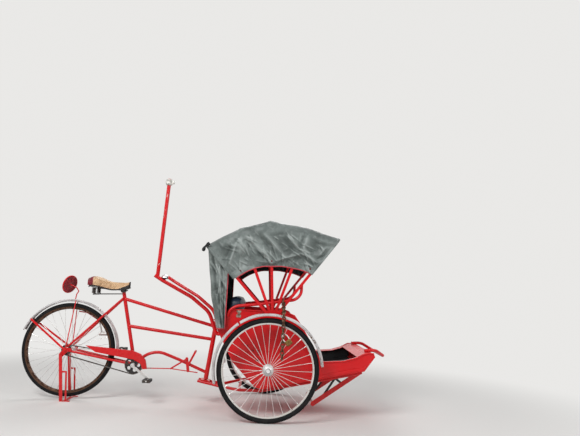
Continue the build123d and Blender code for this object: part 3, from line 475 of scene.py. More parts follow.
dress(redEnamel, "head_tube", "seat_tube", "top_tube", "middle_tube", "down_tube", "chain_stays",
      "seat_stays", "axle_plates", "mudguard_stays", "reflector_stay", "chain_case", "foot_brake",
      "rear_stand", "side_panel_right", "side_panel_left", "tub", "seat_deck", "front_board", "loop_bar",
      "chassis", "skid", "armrests", "hood_bows", "handlebar")
dress(redEnamelScuffed, "umbrella_tube")
dress(blackEnamel, "saddle_frame", "skid_braces")
dress(hubAlloy, "front_axle")
dress(brightSteel, "spokes_rear", "spokes_right", "spokes_left", "dynamo")

# Wheels: tyre, rim, nipples and hub, turned round the axle
wheel = {
    "tyreMid": 0.337, "tyreR": 0.019, "rimR": 0.322, "rimDepth": 0.013, "rimWidth": 0.028, "lip": 0.0026,
    "hubR": 0.017, "flangeR": 0.0375, "flangeY": 0.030, "hubHalf": 0.046, "holesR": 0.0349,
    "spokeEnd": 0.3087, "spokeOff": 0.0032, "nippleFoot": 0.0028, "nippleTip": 0.0022, "nippleOut": 0.002,
    "nippleIn": 0.013, "headR": 0.0026, "headHalf": 0.0035, "washerY": 0.6145,
}
# each wheel's body, centre, spokes' lean in degrees, number of spokes, tyre, and the rim's finish and slot
wheels = {
    "rear": ("rear_wheel", rearCentre, 22, 36, rearTyre, rustyPlate, "rusty_steel"),
    "right": ("wheel_right", frontCentre[-1], 5, 32, frontTyre, whiteEnamel, "white_paint"),
    "left": ("wheel_left", frontCentre[1], 5, 32, frontTyre, whiteEnamel, "white_paint"),
}


def tyreProfile():
    # a round section of (radius, height) with a slightly squared tread, from one bead round to the other
    angle = np.linspace(-2.50, 2.50, 41)
    squared = 1 - 0.03 * np.exp(-((np.abs(angle) - 0.75) / 0.18) ** 2)
    radius = wheel["tyreR"] * squared
    return np.stack([wheel["tyreMid"] + radius * np.cos(angle), radius * np.sin(angle)], -1)


def rimProfile():
    # a closed section of (radius, height): rolled lips, walls and a round bed
    outer, deep, half, lip = wheel["rimR"], wheel["rimDepth"], wheel["rimWidth"] / 2, wheel["lip"]
    angle = np.linspace(-np.pi / 2, np.pi / 2, 17)
    bed = np.stack([outer - deep * (0.55 + 0.45 * np.cos(angle)), half * 0.92 * np.sin(angle)], -1)
    turn = np.linspace(0.2, 1.0, 7) * np.pi
    right = np.stack([outer - lip + lip * np.sin(turn - np.pi / 2), half - lip * (1 - np.sin(turn))], -1)
    left = np.stack([right[::-1, 0], -right[::-1, 1]], -1)
    inside = np.array([[outer - 0.004, half * 0.6], [outer - 0.006, 0], [outer - 0.004, -half * 0.6]])
    return np.vstack([bed, right[::-1][:5], inside, left[2:]])


def hubProfile():
    # a hub of (radius, height), the same to both sides: barrel, spoke flange, bearing cup and dust cap
    f, y, r, half = wheel["flangeR"], wheel["flangeY"], wheel["hubR"], wheel["hubHalf"]
    side = np.array([(r * 0.86, 0.0), (r * 0.86, y * 0.55), (r, y - 0.006), (f, y - 0.002), (f, y + 0.002),
                     (r * 1.25, y + 0.004), (r * 1.15, half - 0.002), (r * 0.95, half)])
    return np.vstack([side[::-1] * [1, -1], side[1:]])


for tail, (body, centre, lean, spokes, tyreLook, rimLook, rimSlot) in wheels.items():
    tyre = turned(f"tyreCover_{tail}", tyreProfile(), centre, count=168)
    finishPiece(tyre, body, tyreLook, (f"tyre_{tail}",))
    rim = turned(f"rimBand_{tail}", rimProfile(), centre, count=168, closedProfile=True)
    finishPiece(rim, body, rimLook, (f"rim_{tail}",))
    hub = turned(f"hubShell_{tail}", hubProfile(), centre, count=48)
    finishPiece(hub, body, hubAlloy, (f"hub_{tail}",))
    # a nipple where each spoke meets the rim and a bent head on the hub's flange
    number = np.arange(spokes)
    side = np.where(number % 2, 1.0, -1.0)
    sideways = side[:, None] * [0, 1, 0]
    out = 2 * np.pi * number / spokes
    back = out - side * np.radians(lean)
    ray = np.stack([np.cos(out), np.zeros(spokes), np.sin(out)], -1)
    rayBack = np.stack([np.cos(back), np.zeros(spokes), np.sin(back)], -1)
    far = np.array(centre) + ray * wheel["spokeEnd"] + sideways * wheel["spokeOff"]
    near = np.array(centre) + rayBack * wheel["holesR"] + sideways * wheel["flangeY"]
    run = (near - far) / np.linalg.norm(near - far, axis=1)[:, None]
    nipples = rods(f"nipples_{tail}", far - run * wheel["nippleOut"], far + run * wheel["nippleIn"],
                   wheel["nippleFoot"], wheel["nippleTip"])
    finishPiece(nipples, body, brightSteel)
    headHalf = sideways * wheel["headHalf"]
    heads = rods(f"spokeHeads_{tail}", near + headHalf, near - headHalf, wheel["headR"])
    finishPiece(heads, body, brightSteel)
washerLine = [(0.0145, -0.002), (0.0175, -0.002), (0.0175, 0.001), (0.0145, 0.002)]
for side, tail in bothSides:
    centre = (place["frontX"], side * wheel["washerY"], place["frontZ"])
    washer = turned(f"axleWasher_{tail}", washerLine, centre, count=32, closedProfile=True)
    finishPiece(washer, "cab", dullSteel)
print("wheels ready")


# Drive: a toothed ring over the chainring, the cog, and a chain of real links
drive = {
    "ringR": 0.064, "ringRoot": 0.0625, "ringTip": 0.0685, "ringHole": 0.0515, "ringTeeth": 34,
    "cogR": 0.034, "cogRoot": 0.0325, "cogTip": 0.0385, "cogHole": 0.014, "cogTeeth": 18, "toothT": 0.0030,
    "pins": 106, "pinLift": 0.0045, "plateT": 0.0012, "outerY": 0.0052, "innerY": 0.0036,
    "rollerHalf": 0.0034, "rollerR": 0.0038,
}
# a chain plate from the side, each corner as (along the run from its pin, height)
plateOutline = [
    (-0.003, 0.0), (-0.001, 0.0042), (0.004, 0.0030), (0.0087, 0.0030), (0.0137, 0.0042), (0.0157, 0.0),
    (0.0137, -0.0042), (0.0087, -0.0030), (0.004, -0.0030), (-0.001, -0.0042),
]
crankCentre = np.array([place["crankX"], place["chainY"], place["crankZ"]])
axleCentre = np.array([place["rearX"], place["chainY"], place["rearZ"]])


def toothedPlate(name, centre, rootR, tipR, holeR, teeth):
    # a flat toothed ring: its outline is a circle whose radius swings between root and tip once a tooth
    count = teeth * 8
    angle = np.linspace(0, 2 * np.pi, count, endpoint=False)
    swing = 0.5 + 0.5 * np.cos(angle * teeth)
    outer = rootR + (tipR - rootR) * swing ** 0.8
    ring = np.stack([np.cos(angle), np.zeros(count), np.sin(angle)], -1)
    lift = np.array([0, drive["toothT"] / 2, 0])
    rim, hole = outer[:, None] * ring, holeR * ring
    points = np.stack([rim + lift, rim - lift, hole - lift, hole + lift], 1) + np.asarray(centre)
    return weld(surface(name, points, True, True, smooth=False))


for name, kind, centre, body, slot in [
    ("chainringTeeth", "ring", crankCentre, "cranks", "black_steel"),
    ("freewheelCog", "cog", axleCentre, "rear_wheel", "bright_steel"),
]:
    sizes = [drive[kind + part] for part in ("Root", "Tip", "Hole", "Teeth")]
    finishPiece(toothedPlate(name, centre, *sizes), body, dullSteel)


def chainLine(count):
    # evenly spaced places on the belt line round the two sprockets: two arcs and two straight runs
    big, small = drive["ringR"] + drive["pinLift"], drive["cogR"] + drive["pinLift"]
    gap = axleCentre - crankCentre
    length = np.hypot(gap[0], gap[2])
    base = np.arctan2(gap[2], gap[0])
    lean = np.arccos((big - small) / length)
    a = np.linspace(base + lean, base + 2 * np.pi - lean, 400)
    b = np.linspace(base - lean, base + lean, 200)
    arcBig = crankCentre + big * np.stack([np.cos(a), 0 * a, np.sin(a)], -1)
    arcSmall = axleCentre + small * np.stack([np.cos(b), 0 * b, np.sin(b)], -1)
    loop = np.vstack([arcBig, arcSmall, arcBig[:1]])
    step = np.concatenate([[0], np.cumsum(np.linalg.norm(np.diff(loop, axis=0), axis=1))])
    even = np.linspace(0, step[-1], count, endpoint=False)
    return np.stack([np.interp(even, step, loop[:, i]) for i in range(3)], -1)


pins = chainLine(drive["pins"])
along = np.roll(pins, -1, 0) - pins
along /= np.linalg.norm(along, axis=1)[:, None]
across = np.cross(along, [0, 1, 0])
outward = np.where(np.arange(len(pins)) % 2, drive["outerY"], drive["innerY"])
layers = []
for face in (-1, 1):
    for thick in (0, 1):
        side = pins + (face * (outward + thick * drive["plateT"]))[:, None] * [0, 1, 0]
        layers.append(np.stack([side + along * shift + across * height for shift, height in plateOutline], 1))
plates = np.stack(layers, 1)
faces = []
for low in range(0, len(pins) * 40, 20):
    high = low + 10
    faces += [[low + c, low + (c + 1) % 10, high + (c + 1) % 10, high + c] for c in range(10)]
    faces += [[low + c for c in range(10)][::-1], [high + c for c in range(10)]]
links = weld(meshObject("chainPlates", plates.reshape(-1, 3), faces, smooth=False))
finishPiece(links, "root", dullSteel, ("chain",))
rollerEnd = np.array([0, drive["rollerHalf"], 0])
rollers = rods("chainRollers", pins - rollerEnd, pins + rollerEnd, drive["rollerR"], sides=8)
finishPiece(rollers, "root", dullSteel)

# Pedals: two ribbed rubber blocks on a steel barrel between end plates
pedal = {
    "arm": 0.165, "armAngle": np.radians(-36), "crankY": 0.088, "gap": 0.008, "length": 0.090, "inset": 0.003,
    "block": 0.023, "blockX": 0.019, "ribs": 9, "ribDeep": 0.07, "boreR": 0.0062, "barrelR": 0.0085,
    "plate": (0.058, 0.0026, 0.020),
}
arm = pedal["arm"] * np.array([np.cos(pedal["armAngle"]), 0, np.sin(pedal["armAngle"])])
t = np.linspace(0, 1, 60)
angle = np.linspace(0, 2 * np.pi, 28, endpoint=False)
rib = pedal["block"] / 2 * (1 - pedal["ribDeep"] * (np.sin(t * 2 * np.pi * pedal["ribs"]) > 0.3))[:, None]
for side, tail in bothSides:
    pin = crankCentre * [1, 0, 1] - side * arm
    low = side * (pedal["crankY"] + pedal["gap"] + pedal["inset"])
    high = side * (pedal["crankY"] + pedal["gap"] + pedal["length"] - pedal["inset"])
    body = f"pedal_{tail}"
    for number, shift in enumerate((-pedal["blockX"], pedal["blockX"])):
        # the block's section is a circle squared off by a power, a little smaller in the grooves
        points = np.stack([
            pin[0] + shift + rib * grow(np.cos(angle), 0.4), (low + (high - low) * t)[:, None] + 0 * angle,
            pin[2] + rib * grow(np.sin(angle), 0.4),
        ], -1)
        rubber = weld(surface(f"pedalBlock{number}_{tail}", points, False, True, caps=True))
        finishPiece(rubber, body, blockRubber, (body,) if number == 0 else ())
    boreR, barrelR = pedal["boreR"], pedal["barrelR"]
    barrelLine = [(boreR, low), (barrelR, low), (barrelR, high), (boreR, high)]
    barrel = turned(f"pedalBarrel_{tail}", barrelLine, (pin[0], 0, pin[2]), count=24, closedProfile=True)
    finishPiece(barrel, body, dullSteel)
    for number, y in enumerate((low, high)):
        plate = roundedBox(f"pedalPlate{number}_{tail}", (pin[0], y, pin[2]), pedal["plate"], 8, (28, 12))
        finishPiece(plate, body, dullSteel)
# the crankset's arms are bright and its chainring is black
crankset = nodes["crankset"]
crankset.data.materials.clear()
for look in (brightSteel, blackEnamel):
    crankset.data.materials.append(look)
pickLooks(crankset, np.abs(faceMiddles(crankset)[:, 1] - place["chainY"]) < 0.003)
print("drive ready")


# Mudguards: a crowned strip with rolled edges, carried round the wheel
guard = {
    "radius": 0.375, "crown": 0.42, "thickness": 0.0016, "roll": 0.0028, "rearHalf": 0.024,
    "frontHalf": 0.028, "bracketAngles": (60, 112, 130, 165), "bracketY": 0.4043, "bracketLong": 0.134,
    "bracketUp": 0.004, "bracketR": 0.006,
}


def guardStrip(name, centre, half, first, last, wave=0.0):
    # the section goes over the crown and curls under at both edges; its radius may waver by small dents
    s = np.linspace(-1, 1, 31)
    crown = guard["radius"] + half * guard["crown"] * (1 - s ** 2)
    offset = half * s
    curl = np.linspace(0, 1.5 * np.pi, 9)[1:]
    rollR = guard["radius"] + guard["roll"] * (np.cos(curl) - 1)
    rollY = half - guard["roll"] * np.sin(curl)
    radius = np.concatenate([rollR[::-1], crown, rollR])
    offset = np.concatenate([-rollY[::-1], offset, rollY])
    angle = np.radians(np.linspace(first, last, int(abs(last - first)) + 2))
    dent = wave * (np.sin(angle * 7.3) + 0.6 * np.sin(angle * 17.1 + 1.3))
    r = radius[None, :] + dent[:, None] * np.exp(-((offset / half) ** 2) * 3)[None, :]
    cos, sin = np.cos(angle)[:, None], np.sin(angle)[:, None]
    points = np.stack([centre[0] + r * cos, centre[1] + offset[None, :] + 0 * r, centre[2] + r * sin], -1)
    piece = surface(name, points)
    modify(piece, "SOLIDIFY", thickness=guard["thickness"], offset=0)
    return piece


rearGuard = guardStrip("rearGuardStrip", rearCentre, guard["rearHalf"], 2, 159, 0.0010)
finishPiece(rearGuard, "root", silverPaint, ("mudguard_rear",))
for side, tail in bothSides:
    centre = frontCentre[side]
    upper = guardStrip(f"frontGuardUpper_{tail}", centre, guard["frontHalf"], 6, 124, 0.0012)
    finishPiece(upper, "cab", silverPaint, (f"mudguard_{tail}",))
    lower = guardStrip(f"frontGuardLower_{tail}", centre, guard["frontHalf"], 126, 196, 0.0010)
    finishPiece(lower, "cab", silverPaint)
    angle = np.radians(guard["bracketAngles"])
    reach = guard["radius"] + guard["bracketUp"]
    y = np.full(len(angle), side * guard["bracketY"])
    starts = np.stack([centre[0] + reach * np.cos(angle), y, centre[2] + reach * np.sin(angle)], -1)
    ends = starts + [0, side * guard["bracketLong"], 0]
    brackets = rods(f"guardBrackets_{tail}", starts, ends, guard["bracketR"], sides=12)
    finishPiece(brackets, "cab", redEnamel)
print("mudguards ready")

# Saddle: a hide top with a skirt, a stitched rim and coil springs
saddle = {
    "rear": 0.118, "nose": 0.432, "base": 0.860, "thickness": 0.004, "crimson": 0.155, "weltR": 0.0032,
    "cantleR": 0.009, "springX": 0.170, "springY": 0.066, "springR": 0.0135, "springTurns": 5,
    "springWire": 0.0030, "springDown": 0.046, "springLong": 0.044,
}


def saddlePoint(s, t):
    # s runs from the back to the nose, t across from one skirt's edge over the top to the other;
    # half width swells near the back and narrows to the nose, the top dips behind the nose
    x = saddle["rear"] + (saddle["nose"] - saddle["rear"]) * s
    half = 0.022 + 0.080 * np.exp(-((s - 0.17) / 0.30) ** 2) - 0.010 * np.exp(-((s - 0.5) / 0.16) ** 2)
    endRound = np.sqrt(np.clip(1 - np.clip(1 - s / 0.10, 0, 1) ** 2 * 0.75, 0, 1))
    noseRound = np.sqrt(np.clip(1 - np.clip((s - 0.93) / 0.07, 0, 1) ** 2 * 0.9, 0.02, 1))
    half = half * endRound * noseRound
    fall = np.clip((s - 0.12) / 0.50, 0, 1)
    top = 0.946 - 0.040 * fall**2 * (3 - 2 * fall) + 0.010 * np.clip((s - 0.85) / 0.15, 0, 1) ** 2
    drop = 0.020 * np.clip(1 - s / 0.13, 0, 1) ** 2
    top = top - drop
    skirt = 0.072 - 0.036 * s - drop
    a = np.abs(t)
    side = np.clip((a - 0.62) / 0.38, 0, 1)
    over = np.clip(a / 0.62, 0, 1)
    y = np.sign(t) * half * (np.sin(over * np.pi / 2) ** 0.9 + 0.05 * np.sin(side * np.pi))
    z = top - 0.014 * (1 - np.cos(over * np.pi / 2)) - skirt * side ** 1.15
    return place["rearX"] + x, y, z


s, t = np.meshgrid(np.linspace(0, 1, 72), np.linspace(-1, 1, 61), indexing="ij")
seat = surface("saddleHide", np.stack(saddlePoint(s, t), -1), flip=True)
modify(seat, "SOLIDIFY", thickness=saddle["thickness"], offset=-1)
modify(seat, "SUBSURF", levels=1, render_levels=1)
finishPiece(seat, "root", tanLeather, ("saddle",))
seat.data.materials.append(blackHide)
seat.data.materials.append(crimsonHide)
# black along the skirt's edge and round the nose, crimson over the back end
faceS, faceT = (s[:-1, :-1] + s[1:, 1:]) / 2, np.abs(t[:-1, :-1] + t[1:, 1:]) / 2
darkFace = (faceT > 0.93 - 0.25 * np.clip((faceS - 0.72) / 0.28, 0, 1)) | (faceS > 0.965)
pickLooks(seat, np.where(darkFace, 1, np.where(faceS < saddle["crimson"], 2, 0)))
for number, edge in enumerate((-1, 1)):
    line = np.stack(saddlePoint(np.linspace(0.0, 1, 60), np.full(60, edge * 0.985)), -1)
    welt = tube(f"saddleWelt{number}", line, saddle["weltR"], 10)
    finishPiece(welt, "root", blackHide)
cantleLine = np.stack(saddlePoint(np.full(40, 0.004), np.linspace(-0.9, 0.9, 40)), -1) + [-0.001, 0, 0.0]
cantle = tube("saddleCantle", cantleLine, saddle["cantleR"], 14, up=(1, 0, 0), flat=0.75)
finishPiece(cantle, "root", crimsonHide)
turn = np.linspace(0, 2 * np.pi * saddle["springTurns"], 220)
for number, y in enumerate((-saddle["springY"], saddle["springY"])):
    helix = np.stack([
        place["rearX"] + saddle["springX"] + saddle["springR"] * np.cos(turn),
        y + saddle["springR"] * np.sin(turn),
        saddle["base"] - saddle["springDown"] + saddle["springLong"] * turn / turn[-1],
    ], -1)
    spring = tube(f"saddleSpring{number}", helix, saddle["springWire"], 10, up=(0, 0, 1))
    finishPiece(spring, "root", dullSteel, ("saddle_springs",) if number == 0 else ())
print("saddle ready")

# Reflector: its pressed back faces the saddle, with a boss on the stay, and its faceted lens faces behind
lamp = {
    "x": -0.037, "z": 0.872, "turn": np.radians(27), "drop": np.radians(14), "lensR": 0.064,
    "rimFrom": 0.0655,
}
level = np.cos(lamp["drop"])
lampAxis = np.array([np.cos(lamp["turn"]) * level, -np.sin(lamp["turn"]) * level, -np.sin(lamp["drop"])])
lampCentre = np.array([place["rearX"] + lamp["x"], 0, lamp["z"]])
# the lens is a shallow dome with fine rings pressed into it
lensR = np.linspace(lamp["lensR"], 0, 40)
lensHeight = -0.0135 + 0.0045 * (lensR / lamp["lensR"]) ** 2 - 0.0007 * np.abs(np.sin(lensR * 700))
lens = turned("reflectorLens", np.stack([lensR, lensHeight], -1), lampCentre, lampAxis, 64)
finishPiece(lens, "root", lensRed, ("reflector",))
cupLine = [
    (0.0, 0.0035), (0.007, 0.0035), (0.009, 0.0015), (0.012, -0.0035), (0.040, -0.0030), (0.058, -0.0015),
    (0.066, 0.0), (0.0705, -0.0010), (0.072, -0.0045), (0.0712, -0.0085), (0.0675, -0.0110), (0.064, -0.0105),
    (0.062, -0.0075), (0.0, -0.0075),
]
cup = turned("reflectorCup", cupLine[::-1], lampCentre, lampAxis, 64)
finishPiece(cup, "root", cupRed)
# its rolled rim gets the bright red enamel, a painted highlight for the lit side wall, while the back keeps
# its darker red paint
cup.data.materials.append(redEnamel)
offCentre = faceMiddles(cup) - lampCentre
fromAxis = np.linalg.norm(offCentre - (offCentre @ lampAxis)[:, None] * lampAxis, axis=1)
pickLooks(cup, fromAxis > lamp["rimFrom"])


# Hood: cloth stretched over five bows, with sag between them and folds pulled from its corners
hood = {
    "angles": np.radians([133.4, 112.4, 94.0, 72.1, 53.2]),
    "ridge": np.array([0.728, 0.716, 0.732, 0.726, 0.776]),
    "hem": np.array([0.400, 0.395, 0.386, 0.399, 0.431]),
    "corner": 0.074, "sag": 0.005, "past": 0.012, "behind": 0.026, "bay": 38, "thickness": 0.0022,
    "foldGain": 1.5, "hollow": 0.012, "ripple": 0.0022, "scallop": 0.006, "flare": 0.5, "swing": 0.022,
    "overBow": 0.0012, "foldTall": 0.014, "creaseTall": 0.0032, "pipingR": 0.0042, "hemR": 0.0105,
    "buttonIn": 0.001, "buttonOut": 0.004, "buttonR": 0.0075, "buttonTop": 0.005, "area": 1.42,
}
# each fold: where it starts and ends (x, z from the bow pivot), its half width and its height
folds = [
    (-0.268, 0.622, -0.350, 0.346, 0.020, 0.015), (-0.257, 0.622, -0.268, 0.446, 0.018, 0.012),
    (-0.252, 0.617, -0.026, 0.429, 0.020, 0.016), (-0.118, 0.643, 0.057, 0.468, 0.020, 0.015),
    (-0.026, 0.420, 0.201, 0.494, 0.016, 0.012), (0.057, 0.630, 0.191, 0.499, 0.018, 0.014),
    (0.237, 0.657, 0.191, 0.494, 0.020, 0.015), (0.191, 0.494, 0.314, 0.423, 0.017, 0.014),
    (0.273, 0.618, 0.407, 0.573, 0.018, 0.012), (0.304, 0.468, 0.386, 0.573, 0.018, 0.012),
    (-0.149, 0.420, 0.015, 0.409, 0.014, 0.009), (-0.396, 0.552, -0.293, 0.515, 0.016, 0.010),
    (0.067, 0.440, 0.067, 0.385, 0.010, 0.006), (0.098, 0.440, 0.098, 0.385, 0.010, 0.006),
    (0.129, 0.440, 0.129, 0.385, 0.010, 0.006), (0.160, 0.440, 0.160, 0.385, 0.010, 0.006),
]
crease = {
    "count": 54, "seed": 11, "angle": (56, 131), "reach": (0.43, 0.67), "lean": (-48, 26),
    "half": (0.022, 0.075), "width": 0.0058, "height": (0.0020, 0.0036),
}
curtainCrease = {"count": 26, "seed": 5, "x": (-0.46, -0.34), "z": (-0.06, 0.44), "lean": (-66, 16)}


def fineCrease(draw, x, z, lean):
    # one short straight crease through a point: its lean, half length and height are drawn in that order
    lean, half = np.radians(draw.normal(*lean)), draw.uniform(*crease["half"])
    dx, dz = half * np.cos(lean), half * np.sin(lean)
    return x - dx, z - dz, x + dx, z + dz, crease["width"], draw.uniform(*crease["height"])


def scatterCreases():
    # creases over the hood's walls and the curtain's wings, most of them leaning the way the folds lean
    draw = np.random.default_rng(crease["seed"])
    fine, hanging = [], []
    for _ in range(crease["count"]):
        angle, reach = np.radians(draw.uniform(*crease["angle"])), draw.uniform(*crease["reach"])
        fine.append(fineCrease(draw, reach * np.cos(angle), reach * np.sin(angle), crease["lean"]))
    draw = np.random.default_rng(curtainCrease["seed"])
    for _ in range(curtainCrease["count"]):
        x, z = draw.uniform(*curtainCrease["x"]), draw.uniform(*curtainCrease["z"])
        hanging.append(fineCrease(draw, x, z, curtainCrease["lean"]))
    return fine, hanging


fineFolds, hangingCreases = scatterCreases()


def foldHeight(x, z, creases):
    # the sum of creases: each has a sharp crest along its line, a hollow to one side, and fades at its ends
    total = np.zeros_like(x)
    for x0, z0, x1, z1, width, height in creases:
        run = np.array([x1 - x0, z1 - z0])
        length = np.hypot(*run)
        along = ((x - x0) * run[0] + (z - z0) * run[1]) / length**2
        away = ((x - x0) * run[1] - (z - z0) * run[0]) / length
        shape = np.exp(-np.abs(away / width)) - 0.55 * np.exp(-((away - 1.5 * width) / width) ** 2)
        total = total + height * shape * np.exp(-((along - 0.5) / 0.42) ** 4)
    return total


def hoodPoint(u, v):
    # u counts bays from the rear bow, v goes from the right hem (-1) over the ridge (0) to the left hem (1)
    bay = np.clip(u.astype(int), 0, 3)
    f = np.clip(u - bay, 0, 1)
    past = np.clip(u - 4, 0, None) - np.clip(-u, 0, None)
    ends = []
    for k in (bay, bay + 1):
        a = hood["angles"][k]
        ends.append((np.cos(a), np.sin(a), hood["ridge"][k], hood["hem"][k]))
    ridgeX = ends[0][0] * ends[0][2] * (1 - f) + ends[1][0] * ends[1][2] * f
    ridgeZ = ends[0][1] * ends[0][2] * (1 - f) + ends[1][1] * ends[1][2] * f
    hemX = ends[0][0] * ends[0][3] * (1 - f) + ends[1][0] * ends[1][3] * f
    hemZ = ends[0][1] * ends[0][3] * (1 - f) + ends[1][1] * ends[1][3] * f
    slack = np.sin(np.pi * f) ** 1.5
    corner = hood["corner"] / np.hypot(ridgeX - hemX, ridgeZ - hemZ)
    # across the section: up the wall, round the corner, along the ridge
    a = np.abs(v)
    wall = np.clip((a - 0.50) / 0.50, 0, 1)
    bend = np.clip((a - 0.40) / 0.10, 0, 1)
    flat = np.clip(a / 0.40, 0, 1)
    y = (place["hoodHalf"] - hood["corner"]) * flat + hood["corner"] * np.sin(bend * np.pi / 2)
    rise = 1 - corner * (1 - np.cos(bend * np.pi / 2)) - (1 - corner) * wall
    x = hemX + (ridgeX - hemX) * rise
    z = hemZ + (ridgeZ - hemZ) * rise
    # sag draws the ridge in towards the pivot and the walls in towards the middle
    distance = np.hypot(x, z)
    drawn = hood["sag"] * slack * (1 - wall) * (0.55 + 0.45 * np.cos(flat * np.pi / 2))
    x, z = x * (1 - drawn / distance), z * (1 - drawn / distance)
    edge = np.minimum(1, np.minimum(u, 4 - u) / 0.12 + 0.15) * np.minimum(1, (1 - wall) / 0.05 + 0.25)
    hollow = hood["hollow"] * slack * np.sin(np.clip(wall * 1.1, 0, 1) * np.pi)
    push = hood["foldGain"] * foldHeight(x, z, folds + fineFolds) * np.clip(wall * 6, 0, 1) * edge - hollow
    ripple = hood["ripple"] * np.sin(x * 61 + z * 23) * np.sin(z * 47 - x * 19)
    # the wall stays outside the bows, and swings at most so far in or out between them
    held = np.where(bend > 0.99, place["hoodHalf"] - hood["overBow"] - hood["swing"] * slack, 0)
    y = np.clip(y + push + ripple * edge * np.clip(bend, 0, 1), held, place["hoodHalf"] + hood["swing"])
    acrossTop = y * np.sign(v)
    top = 0.0035 * np.sin(acrossTop * 31 + u * 2.1) + 0.0025 * np.sin(acrossTop * 57 - u * 5.0)
    top = top * (1 - bend) * slack
    scallop = hood["scallop"] * slack * (a > 0.99)
    # past the end bows the cloth goes on square to the bow's plane, and flares over the curtain behind
    flare = hood["flare"] * np.clip(-past, 0, None)
    top = top + flare
    y = y + flare * np.clip(bend, 0, 1)
    bowAngle = np.where(past > 0, hood["angles"][4], hood["angles"][0])
    x = x * (1 + top / distance) + past * np.sin(bowAngle)
    z = z * (1 + top / distance) + scallop - past * np.cos(bowAngle)
    return place["pivotX"] + x, np.sign(v) * y, place["pivotZ"] + z


v = spacing([-1, -0.5, -0.4, 0.4, 0.5, 1], [76, 9, 42, 9, 76])
u = np.concatenate([-hood["behind"] * np.array([1.0, 0.5]), np.linspace(0, 4, 4 * hood["bay"] + 1),
                    4 + hood["past"] * np.array([0.5, 1.0])])
u, v = np.meshgrid(u, v, indexing="ij")
clothPoints = np.stack(hoodPoint(u, v), -1)
cloth = surface("hoodCloth", clothPoints, flip=True)
onWall = np.clip((np.abs(v) - 0.44) / 0.08, 0, 1)
wallX, wallZ = clothPoints[..., 0] - place["pivotX"], clothPoints[..., 2] - place["pivotZ"]
# fold heights that the canvas turns into a painted highlight on crests and painted shade in hollows
foldShade = (foldHeight(wallX, wallZ, folds) / hood["foldTall"]
             + foldHeight(wallX, wallZ, fineFolds) / hood["creaseTall"])
storeValue(cloth, "fold", foldShade * onWall)
modify(cloth, "SOLIDIFY", thickness=hood["thickness"], offset=-1, material_offset=1)
finishPiece(cloth, "cab", hoodCanvasCloth, ("hood_canvas",))
# the inside face takes the near-black cloth, painted shade for the hood's dark inside
cloth.data.materials.append(paintedShadeLining)
for name, edge in [("hoodPipingRight", -0.998), ("hoodPipingLeft", 0.998)]:
    line = np.stack(hoodPoint(np.linspace(0.01, 3.99, 120), np.full(120, edge)), -1)
    cordEdge = tube(name, line, hood["pipingR"], 8, up=(0.3, 1, 0.2))
    finishPiece(cordEdge, "cab", piping)
# a folded hem strip round the front edge and round the rear one
for name, bays, tilt in [("hoodHemFront", 4 + hood["past"] * 0.4, (0.8, 0, -0.6)),
                         ("hoodHemRear", -hood["behind"] * 0.6, (0.7, 0, 0.7))]:
    line = np.stack(hoodPoint(np.full(160, bays), np.linspace(-1, 1, 160)), -1)
    hemStrip = tube(name, line, hood["hemR"], 10, up=tilt, flat=0.38)
    finishPiece(hemStrip, "cab", hoodCanvasCloth)
# buttons that hold the hem to the bows
starts = np.stack(hoodPoint(np.array([0.35, 2, 3.82] * 2), np.array([-0.93] * 3 + [0.93] * 3)), -1)
outwards = np.sign(starts[:, 1:2]) * [0, 1, 0]
buttons = rods("hoodButtons", starts - outwards * hood["buttonIn"], starts + outwards * hood["buttonOut"],
               hood["buttonR"], hood["buttonTop"], sides=16)
finishPiece(buttons, "cab", buttonRed)

# Curtain: hung from the rear bow, round the back and both sides, in metres from the front axle
curtain = {
    "corner": 0.036, "wingX": -0.322, "lowX": -0.384, "highX": -0.489, "hemZ": 0.613, "backTall": 0.606,
    "slitHalf": 0.036, "slitEdge": 0.012, "slitHigh": 0.060, "under": 0.010, "inset": 0.004,
    "creaseGain": 1.5, "foldTall": 0.024, "pipingR": 0.0040, "area": 0.655,
}


def hangingFold(a, h):
    # folds that hang down and lean a little, with finer ones between them and a few across
    return 0.009 * np.sin(a * 33 + 2.5 * h) + 0.005 * np.sin(a * 71 - 5 * h) + 0.003 * np.sin(h * 19 + a * 21)


